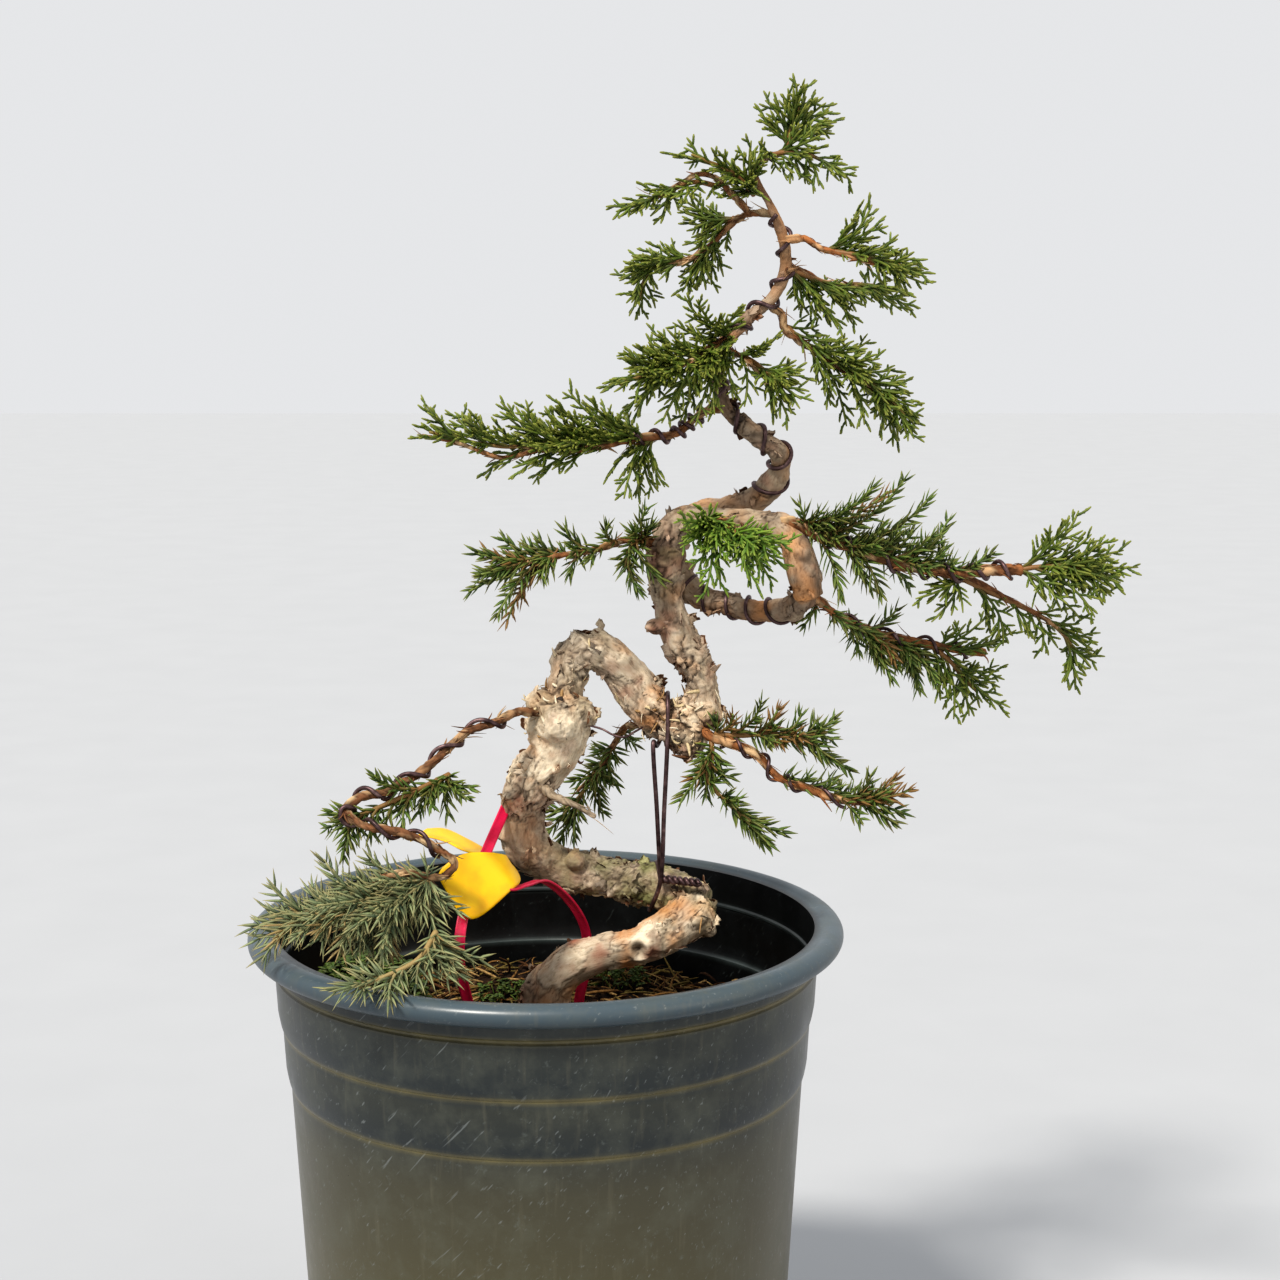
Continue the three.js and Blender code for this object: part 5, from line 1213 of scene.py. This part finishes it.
# Each pad has the stem that its shoots leave from, and tips that shape its outline.
pads = {
    "leaves_apex": {
        "stem": [(66, 0, 247), (67, 0, 251), (68, 0, 254), (69, 0, 257)],
        "tips": [(68, -3, 263), (66, 1, 262), (71, -2, 263), (71, 2, 260), (73, 0, 259), (76, -2, 258),
            (78, 1, 256), (79, -1, 253), (78, 3, 251), (65, 0, 259), (62, -2, 259), (60, 2, 259), (58, -1, 255),
            (59, -3, 253)],
        "extra": 4, "flat": (0, -1, 0.1)},
    "leaves_apex_right": {
        "stem": [(60, 0, 244), (66, -4, 245), (72, -5, 244), (78, -5, 241)],
        "tips": [(74, -10, 249), (72, -5, 251), (74, -8, 246), (73, -3, 244), (61, -6, 245), (58, -9, 245),
            (83, -4, 237), (74, -7, 236), (72, -2, 237), (69, -6, 238), (79, -9, 239), (65, -4, 240),
            (77, -7, 241)],
        "extra": 14, "flat": (0, -0.8, 0.6)},
    "leaves_top_left": {
        "stem": [(57, 0, 234), (54, -4, 237), (50, -7, 240), (45, -9, 242), (40, -10, 244)],
        "tips": [(34, -14, 244), (38, -7, 246), (43, -11, 245), (56, -4, 248), (59, -8, 246), (46, -13, 243),
            (54, -6, 245), (51, -10, 243), (48, -3, 235), (55, -7, 233), (57, -12, 235), (50, -4, 233)],
        "extra": 40, "flat": (0, -0.7, 0.7)},
    "leaves_top_left_low": {
        "stem": [(47, -5, 236), (41, -8, 237), (35, -10, 235), (29, -12, 232), (25, -13, 231)],
        "tips": [(26, -18, 231), (22, -12, 230), (28, -16, 235), (30, -9, 236), (32, -13, 227), (26, -17, 229),
            (24, -11, 231), (33, -15, 229), (34, -9, 235), (38, -12, 237), (20, -15, 229)],
        "extra": 26, "flat": (0, -0.5, 0.9)},
    "leaves_upper_left_near": {
        "stem": [(52, 5, 228), (49, 8, 225), (45, 10, 220), (42, 11, 216)],
        "tips": [(50, 6, 219), (46, 11, 210), (44, 8, 213), (39, 13, 210), (43, 10, 210), (47, 7, 216),
            (38, 12, 208), (37, 3, 230), (38, 7, 227), (38, 4, 233), (40, 8, 231), (42, 6, 222), (41, 4, 221),
            (43, 7, 224)],
        "extra": 12, "flat": (0, -0.8, 0.5)},
    "leaves_upper_left": {
        "stem": [(40, 11, 217), (35, 12, 216), (30, 14, 215), (27, 15, 210), (26, 15, 206)],
        "tips": [(33, 8, 220), (28, 15, 220), (24, 11, 218), (22, 18, 215), (21, 14, 212), (24, 9, 210),
            (24, 16, 206), (25, 12, 204), (27, 19, 202), (29, 15, 206), (30, 10, 216), (31, 12, 221),
            (35, 12, 221)],
        "extra": 44, "flat": (0, -0.7, 0.7)},
    "leaves_upper_right": {
        "stem": [(76, -6, 219), (83, -9, 218), (90, -12, 216), (96, -13, 215)],
        "tips": [(93, -17, 220), (96, -10, 219), (99, -14, 217), (102, -7, 215), (101, -11, 214),
            (102, -16, 212), (103, -9, 210), (87, -13, 220), (92, -6, 220), (97, -10, 210), (88, -9, 231),
            (85, -5, 231), (90, -8, 226), (89, -4, 223)],
        "extra": 34, "flat": (0, -0.7, 0.7)},
    "leaves_upper_right_low": {
        "stem": [(67, 3, 214), (73, 6, 212), (80, 9, 210), (88, 11, 210), (95, 13, 208)],
        "tips": [(98, 5, 203), (102, 12, 203), (101, 8, 207), (92, 15, 206), (84, 11, 201), (82, 6, 198),
            (79, 13, 200), (71, 9, 203), (88, 16, 207), (81, 12, 210), (75, 7, 200), (86, 8, 199),
            (76, 4, 204)],
        "extra": 34, "flat": (0, -0.7, 0.7)},
    "leaves_mid_right": {
        "stem": [(66, 6, 199), (72, 7, 194), (80, 8, 189), (88, 8, 184), (95, 8, 179), (100, 8, 174)],
        "tips": [(82, 0, 195), (90, 10, 195), (92, 4, 190), (76, 14, 199), (100, 8, 183), (102, 1, 177),
            (103, 11, 171), (102, 5, 168), (99, 15, 165), (93, 9, 168), (88, 3, 172), (84, 13, 171),
            (79, 7, 177), (85, 1, 192), (97, 10, 187), (79, 4, 181)],
        "extra": 70, "flat": (0, -0.7, 0.7)},
    "leaves_front": {
        "stem": [(51, -5, 196), (46, -12, 193), (40, -18, 190), (33, -22, 188), (26, -25, 186), (21, -26, 184)],
        "tips": [(53, -29, 205), (38, -19, 207), (41, -25, 206), (35, -15, 200), (32, -21, 196), (22, -28, 193),
            (19, -18, 185), (17, -24, 183), (21, -14, 176), (25, -20, 175), (32, -26, 174), (37, -16, 174),
            (41, -22, 173), (26, -28, 194), (47, -19, 201), (50, -25, 194), (52, -15, 180), (46, -21, 176)],
        "extra": 110, "flat": (0, -0.6, 0.8)},
    "leaves_front_right": {
        "stem": [(51, -4, 192), (56, -10, 190), (60, -15, 187), (65, -18, 183)],
        "tips": [(63, -21, 197), (66, -16, 185), (54, -19, 178), (62, -14, 175), (66, -17, 174), (69, -20, 180),
            (61, -15, 181), (58, -18, 194), (70, -16, 186)],
        "extra": 24, "flat": (0, -0.8, 0.6)},
    "leaves_long_left": {
        "stem": [(30, -7, 169), (20, -9, 168), (9, -11, 166), (-1, -12, 167), (-11, -13, 167), (-22, -14, 169),
            (-30, -15, 171)],
        "tips": [(-33, -21, 170), (-32, -10, 178), (-28, -17, 176), (-22, -6, 176), (-11, -13, 179),
            (4, -19, 180), (7, -8, 182), (13, -15, 180), (22, -4, 175), (-16, -11, 159), (-6, -18, 160),
            (-3, -7, 158), (5, -14, 161), (1, -20, 177), (16, -9, 177), (-19, -16, 173), (-6, -5, 178),
            (22, -13, 153), (30, -7, 154), (33, -11, 156), (26, -4, 152), (17, -8, 158), (24, -12, 161)],
        "extra": 120, "flat": (0, -0.5, 0.9)},
    "leaves_loop_front": {
        "stem": [(44, -6, 147), (47, -13, 147), (52, -19, 145), (59, -23, 142)],
        "tips": [(36, -28, 149), (42, -21, 152), (37, -25, 141), (42, -18, 134), (43, -22, 127), (54, -27, 135),
            (62, -20, 130), (40, -24, 146), (48, -17, 129), (66, -21, 135), (58, -26, 130), (64, -18, 141)],
        "extra": 60, "flat": (0, -0.8, 0.5), "leaf": "lime"},
    "leaves_long_right_tip": {
        "stem": [(128, -16, 134), (134, -17, 135), (141, -18, 135), (148, -19, 134)],
        "tips": [(138, -25, 148), (144, -16, 150), (151, -22, 143), (157, -13, 139), (160, -18, 135),
            (139, -24, 135), (155, -15, 132), (155, -20, 131), (155, -12, 127), (151, -17, 126),
            (148, -22, 122), (146, -14, 120), (147, -19, 144), (137, -25, 127)],
        "extra": 22, "flat": (0, -0.9, 0.3)},
    "leaves_long_right_fork": {
        "stem": [(112, -14, 132), (120, -10, 128), (128, -8, 124), (138, -6, 119), (145, -5, 112),
            (147, -4, 106)],
        "tips": [(133, -10, 115), (137, -5, 110), (143, -8, 102), (147, -3, 99), (152, -6, 107), (149, -9, 113),
            (142, -4, 122), (126, -7, 112), (123, -2, 117), (147, -6, 118), (100, -22, 127), (105, -17, 120),
            (108, -20, 130), (103, -15, 128)],
        "extra": 22, "flat": (0, -0.9, 0.3)},
    "leaves_low_right_end": {
        "stem": [(108, 4, 110), (113, 4, 106), (117, 5, 101), (121, 5, 97)],
        "tips": [(109, 0, 96), (119, 6, 90), (128, 2, 93), (127, 9, 100), (127, 5, 103), (114, 1, 90),
            (121, 7, 97), (111, 3, 98), (131, 2, 115), (123, 6, 118), (127, 3, 112), (116, 7, 115)],
        "extra": 16, "flat": (0, -0.9, 0.3)},
    "needles_mid_left_near": {
        "stem": [(28, -7, 141), (25, -10, 141), (23, -12, 138), (22, -12, 133)],
        "tips": [(28, -16, 151), (30, -11, 147), (26, -14, 128), (24, -9, 130), (22, -12, 136), (32, -15, 131)],
        "extra": 12},
    "needles_mid_left": {
        "stem": [(20, -10, 141), (13, -12, 139), (6, -13, 138), (-2, -14, 137), (-10, -16, 134)],
        "tips": [(18, -21, 147), (6, -14, 145), (-18, -18, 139), (-11, -11, 142), (-20, -15, 128),
            (-12, -20, 122), (7, -13, 132), (13, -17, 137), (-6, -10, 125), (-1, -14, 142), (-17, -19, 133),
            (-10, -11, 119)], "extra": 30},
    "needles_long_right": {
        "stem": [(70, -10, 146), (78, -13, 142), (88, -15, 138), (98, -16, 136), (108, -16, 134),
            (118, -16, 134)],
        "tips": [(88, -23, 157), (93, -13, 155), (97, -19, 159), (110, -9, 147), (69, -15, 152), (80, -22, 127),
            (89, -12, 128), (91, -18, 127), (100, -8, 128), (100, -14, 139), (107, -20, 139), (122, -10, 138),
            (75, -16, 150), (82, -22, 152), (104, -13, 153), (85, -19, 133)], "extra": 62},
    "needles_low_right": {
        "stem": [(74, -8, 125), (82, -2, 119), (92, 2, 114), (103, 4, 111), (110, 4, 109)],
        "tips": [(71, -6, 117), (98, 3, 121), (96, -3, 102), (104, 6, 99), (104, 1, 98), (108, -5, 101),
            (112, 4, 100), (87, -1, 109), (94, 7, 104), (85, 2, 118)], "extra": 44},
    "needles_bottom_right_top": {
        "stem": [(47, -10, 88), (54, -13, 88), (62, -15, 89), (70, -17, 89), (77, -18, 90)],
        "tips": [(59, -21, 99), (64, -14, 96), (63, -18, 92), (80, -11, 93), (79, -15, 87), (77, -20, 83),
            (84, -13, 78), (70, -17, 95), (74, -10, 86)], "extra": 26},
    "needles_bottom_right": {
        "stem": [(64, -16, 77), (72, -18, 75), (82, -20, 72), (92, -22, 72)],
        "tips": [(99, -27, 76), (98, -20, 68), (95, -24, 66), (96, -17, 77), (89, -21, 79), (86, -26, 67),
            (81, -19, 74)], "extra": 26},
    "needles_bottom_right_under": {
        "stem": [(46, -9, 86), (46, -12, 81), (45, -13, 76), (50, -16, 70), (57, -18, 65)],
        "tips": [(37, -19, 71), (44, -13, 71), (50, -17, 72), (52, -10, 76), (40, -14, 76), (43, -18, 82),
            (53, -22, 72), (58, -17, 64), (62, -20, 59), (66, -15, 61), (60, -18, 59)], "extra": 16},
    "needles_behind": {
        "stem": [(22, 20, 84), (18, 25, 77), (14, 26, 70), (9, 26, 63), (4, 25, 57)],
        "tips": [(7, 21, 68), (16, 27, 57), (20, 23, 66), (25, 30, 77), (15, 26, 61), (12, 22, 65),
            (20, 28, 73), (-1, 22, 52), (7, 27, 49), (9, 24, 57), (2, 29, 46), (-1, 26, 58)], "extra": 22},
    "needles_wired_left": {
        "stem": [(-24, -36, 82), (-32, -41, 79), (-40, -45, 76), (-47, -47, 73), (-51, -48, 69)],
        "tips": [(-42, -51, 85), (-17, -44, 80), (-18, -48, 78), (-24, -41, 72), (-28, -45, 75), (-54, -50, 75),
            (-56, -43, 69), (-51, -47, 62), (-37, -40, 73), (-26, -44, 80), (-49, -49, 67)], "extra": 22},
    "needles_over_pot": {
        "stem": [(-28, -52, 58), (-36, -52, 54), (-46, -52, 50), (-56, -50, 48), (-66, -47, 45)],
        "tips": [(-28, -55, 62), (-44, -50, 63), (-56, -48, 62), (-70, -45, 54), (-76, -42, 42), (-72, -50, 36),
            (-20, -56, 50), (-22, -60, 40), (-40, -62, 60), (-62, -58, 44)], "extra": 130, "leaf": "grey"},
    "needles_over_rim": {
        "stem": [(-26, -60, 46), (-30, -68, 41), (-38, -73, 38), (-44, -76, 36)],
        "tips": [(-14, -58, 38), (-20, -66, 36), (-50, -79, 36), (-36, -79, 34), (-44, -72, 40),
            (-26, -72, 42)], "extra": 26, "leaf": "grey"},
}
# Sizes of each kind's shoots and leaves, how far apart the extra shoots stand, and the share of them that grows.
scaleLook = {
    "shootRadius": 0.46, "spacing": 1.9, "side": 6.6, "angle": 0.7, "twig": 0.4, "setBack": 1.35, "apart": 2.6,
    "share": 0.42, "bulges": (1, 0.84, 1.02, 0.82, 1, 0.8, 0.95, 0.74, 0.5)}
needleLook = {
    "spacing": 1.7, "length": (3.6, 5.6), "width": 0.44, "angle": 0.9, "dry": 0.05, "setBack": 1.0,
    "apart": 3.2,
    "share": 0.42}
greyLook = {
    "spacing": 1.9, "length": (4.6, 7.6), "width": 0.4, "angle": 1.0, "dry": 0.07, "setBack": 0.9, "apart": 3.2,
    "share": 0.55}
leafKinds = {
    "scale": (scaleLeaf, "scale_leaves", scaleLook), "lime": (limeLeaf, "scale_leaves", scaleLook),
    "needle": (needleLeaf, "needle_leaves", needleLook), "grey": (greyNeedle, "grey_needles", greyLook)}


def insidePlaces(rng, node, count, apart, keep):
    # places inside the pad's CAD solid, spread evenly
    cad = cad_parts[node]
    tree = BVHTree.FromObject(cad, bpy.context.evaluated_depsgraph_get())
    low, high = (np.array(corner) / mm - [0, 0, soilTop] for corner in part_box(node))
    found = [np.array(k, float) for k in keep]
    extra = []
    for _ in range(count * 60):
        if len(extra) == count:
            break
        place = rng.uniform(low, high)
        start = Vector(aboveSoil(place) * mm)
        hits, way = 0, Vector((0.31, 0.83, 0.46)).normalized()
        while hits < 12:
            hit = tree.ray_cast(start, way)
            if hit[0] is None:
                break
            hits += 1
            start = hit[0] + way * 1e-5
        if hits % 2 and min(np.linalg.norm(place - f) for f in found) > apart:
            found.append(place)
            extra.append(place)
    return extra


def shootPath(rng, stem, tangent, tip, setBack, rings=9):
    # leaves the stem forwards, then turns to its tip
    distance = np.linalg.norm(stem - tip, axis=1)
    near = int(distance.argmin())
    steps = stepsAlong(stem)
    start = int(np.searchsorted(steps, max(steps[near] - distance[near] * setBack, 0)))
    start = min(start, len(stem) - 2)
    begin = stem[start]
    length = np.linalg.norm(tip - begin)
    control = begin + tangent[start] * length * 0.3 + (tip - begin) * 0.25 + rng.normal(size=3) * length * 0.05
    t = np.linspace(0, 1, rings)[:, None]
    return begin * (1 - t) ** 2 + control * 2 * t * (1 - t) + tip * t ** 2


def scaleSpray(rng, paths, flatNormal):
    starts, ways, bends, lengths, widths = [], [], [], [], []
    marks = np.linspace(0, 1, len(paths[0]))
    for path in paths:
        total = np.linalg.norm(np.diff(path, axis=0), axis=1).sum()
        tangent = unit(np.gradient(path, axis=0))
        normal = unit(np.asarray(flatNormal, float) + rng.normal(size=3) * 0.45)
        turn = rng.integers(0, 2)
        count = max(int(total * 0.86 / scaleLook["spacing"]), 1)
        for k in range(count):
            u = 0.12 + 0.86 * (k + 0.5) / count
            place = pointsAt(u, marks, path)
            t = tangent[int(round(u * (len(path) - 1)))]
            lateral = unit(np.cross(normal, t)) * (1 if (k + turn) % 2 else -1)
            angle = scaleLook["angle"] + rng.normal() * 0.12
            way = unit(t * math.cos(angle) + lateral * math.sin(angle) + rng.normal(size=3) * 0.1)
            length = min(scaleLook["side"] * (1.1 - 0.6 * u) * rng.uniform(0.65, 1.15), total * 0.6)
            starts.append(place)
            ways.append(way)
            bends.append(t * 0.22 - lateral * 0.1)
            lengths.append(length)
            widths.append(scaleLook["twig"])
            if length > 3.0:
                for m in (0.36, 0.62) if length > 4.4 else (0.5,):
                    side = unit(np.cross(normal, way)) * rng.choice([-1, 1])
                    starts.append(place + way * length * m)
                    ways.append(unit(way * 0.78 + side * 0.62 + rng.normal(size=3) * 0.08))
                    bends.append(way * 0.12)
                    lengths.append(length * rng.uniform(0.32, 0.55))
                    widths.append(scaleLook["twig"] * 0.92)
    twigs = curvedPaths(np.array(starts), np.array(ways), np.array(bends), lengths, len(scaleLook["bulges"]))
    points, faces, share = tubes(twigs, np.array(widths)[:, None] * scaleLook["bulges"], 4, turn=0.5)
    number = np.clip(0.5 + rng.normal(0, 0.22, len(starts)), 0, 1)
    parts = [(points, faces, tintOf(share * 0.9, np.repeat(number, len(points) // len(starts))))]
    fine = np.linspace(0, 1, 15)
    axes = np.stack([pointsAt(fine, marks, path) for path in paths])
    taper = np.linspace(1.05, 0.75, 15) * np.where(np.arange(15) % 2, 0.86, 1.0)
    taper[-1] *= 0.6
    points, faces, share = tubes(axes, np.tile(scaleLook["shootRadius"] * taper, (len(axes), 1)), 5)
    number = np.repeat(rng.uniform(0.2, 0.7, len(axes)), len(points) // len(axes))
    wood = np.clip(0.55 - share * 1.6, 0, 1)
    parts.append((points, faces, tintOf(share * 0.8, number, wood)))
    return parts


def needleShoots(rng, paths, look):
    starts, ways, bends, lengths, dryness = [], [], [], [], []
    marks = np.linspace(0, 1, len(paths[0]))
    for path in paths:
        total = np.linalg.norm(np.diff(path, axis=0), axis=1).sum()
        tangent = unit(np.gradient(path, axis=0))
        count = max(int(total / look["spacing"]), 3)
        dead = rng.random() < look["dry"]
        for k in range(count):
            u = (k + 0.6) / count
            place = pointsAt(u, marks, path)
            t = tangent[int(round(u * (len(path) - 1)))]
            side = unit(np.cross(t, [0.3, 0.5, 0.8]))
            other = np.cross(t, side)
            for m in range(3):
                around = (m / 3 + (k % 2) / 6) * 2 * math.pi + rng.normal() * 0.3
                out = side * math.cos(around) + other * math.sin(around)
                angle = look["angle"] * (1.12 - 0.62 * u) + rng.normal() * 0.17
                starts.append(place + out * 0.3)
                ways.append(unit(t * math.cos(angle) + out * math.sin(angle)))
                bends.append(t * 0.12 + rng.normal(size=3) * 0.04)
                lengths.append(rng.uniform(*look["length"]) * (0.72 + 0.3 * math.sin(math.pi * min(u + 0.15,
                    1))))
                dryness.append(0.9 if dead else max(0, rng.normal(0.03, 0.1)))
    needles = curvedPaths(np.array(starts), np.array(ways), np.array(bends), lengths, 4)
    radii = np.tile(np.array([0.62, 1.0, 0.72, 0.1]) * look["width"], (len(starts), 1))
    points, faces, share = tubes(needles, radii, 4, flat=0.5, blunt=0.4)
    per = len(points) // len(starts)
    number = np.repeat(np.clip(0.5 + rng.normal(0, 0.25, len(starts)), 0, 1), per)
    dried = np.clip(np.repeat(dryness, per) + (share > 0.97) * 0.35, 0, 1)
    parts = [(points, faces, tintOf(share, number, dried))]
    axes = np.array(paths)
    points, faces, share = tubes(axes, np.tile(np.linspace(0.5, 0.3, axes.shape[1]), (len(axes), 1)), 5)
    parts.append((points, faces, tintOf(share, 0.4, np.clip(1 - share * 1.3, 0, 1))))
    return parts


def makePad(name, pad):
    rng = np.random.default_rng(sum(map(ord, name)))
    stem, _ = smoothRoute(pad["stem"], 12)
    tangent = unit(np.gradient(stem, axis=0))
    kind = pad.get("leaf", "scale" if name.startswith("leaves") else "needle")
    material, slot, look = leafKinds[kind]
    extra = insidePlaces(rng, name, int(pad["extra"] * look["share"]), look["apart"], pad["tips"])
    tips = [np.array(t, float) for t in pad["tips"]] + extra
    paths = [shootPath(rng, stem, tangent, tip, look["setBack"]) for tip in tips]
    parts = scaleSpray(rng, paths, pad["flat"]) if look is scaleLook else needleShoots(rng, paths, look)
    points, faces, share = tubes(stem[None], np.linspace(0.8, 0.4, len(stem))[None], 8)
    parts.append((points, faces, tintOf(share, 0.3, np.clip(1.2 - share * 0.6, 0, 1))))
    points, faces, tint = joined(parts)
    makePiece(name + "_growth", aboveSoil(points), faces, material, [name], tint)
    return len(faces)


total = sum(makePad(name, pad) for name, pad in pads.items())
print("leaves done", total, "faces")


stage = {
    "floor": 12, "world": 0.7, "lens": 64.69, "sensor": 36, "camera": (0.0263, -0.6314, 0.3435), "tilt": 81.4,
    "suns": [("key", (-0.5, -0.8, 1.15), 3.2, 9, "#fff8ee"), ("fill", (0.9, -0.6, 0.2), 0.5, 50, "#ffeccc")]}


def makeStage():
    bpy.ops.mesh.primitive_plane_add(size=stage["floor"], location=(0, 0, -0.5 * mm))
    floor = bpy.context.object
    floor.name = "studio_floor"
    # Painted board, matt: pale enough to meet the sky without a line.
    material, tree, shader = newMaterial("Painted board, pale", {"Roughness": 0.9, "Specular IOR Level": 0.0})
    place = addNode(tree, "TexCoord", {}, 3)
    rolled = addNode(tree, "TexNoise", {"Vector": place, "Scale": 1 / (60 * mm), "Detail": 3})
    shade = addNode(tree, "ValToRGB", {"Fac": rolled, "stops": [(0.3, "#b0b3b7"), (0.7, "#b2b5b9")]})
    tree.links.new(shade, shader.inputs["Base Color"])
    floor.data.materials.append(material)
    for name, way, power, softness, colour in stage["suns"]:
        data = bpy.data.lights.new(name, "SUN")
        data.angle, data.energy, data.color = math.radians(softness), power, toLinear(colour)[:3]
        light = bpy.data.objects.new(name, data)
        light.rotation_euler = (-Vector(way)).to_track_quat("-Z", "Y").to_euler()
        bpy.context.scene.collection.objects.link(light)
    world = bpy.data.worlds.new("pale_sky")
    bpy.context.scene.world = world
    world.use_nodes = True
    background = world.node_tree.nodes["Background"]
    background.inputs["Color"].default_value = toLinear("#fafbfd")
    background.inputs["Strength"].default_value = stage["world"]
    view = bpy.data.cameras.new("camera")
    view.lens, view.sensor_width, view.clip_start = stage["lens"], stage["sensor"], 0.01
    camera = bpy.data.objects.new("camera", view)
    camera.location = stage["camera"]
    camera.rotation_euler = (math.radians(stage["tilt"]), 0, 0)
    bpy.context.scene.collection.objects.link(camera)
    bpy.context.scene.camera = camera
    bpy.context.scene.view_settings.view_transform = "Standard"
    bpy.context.scene.view_settings.look = "Medium High Contrast"


makeStage()
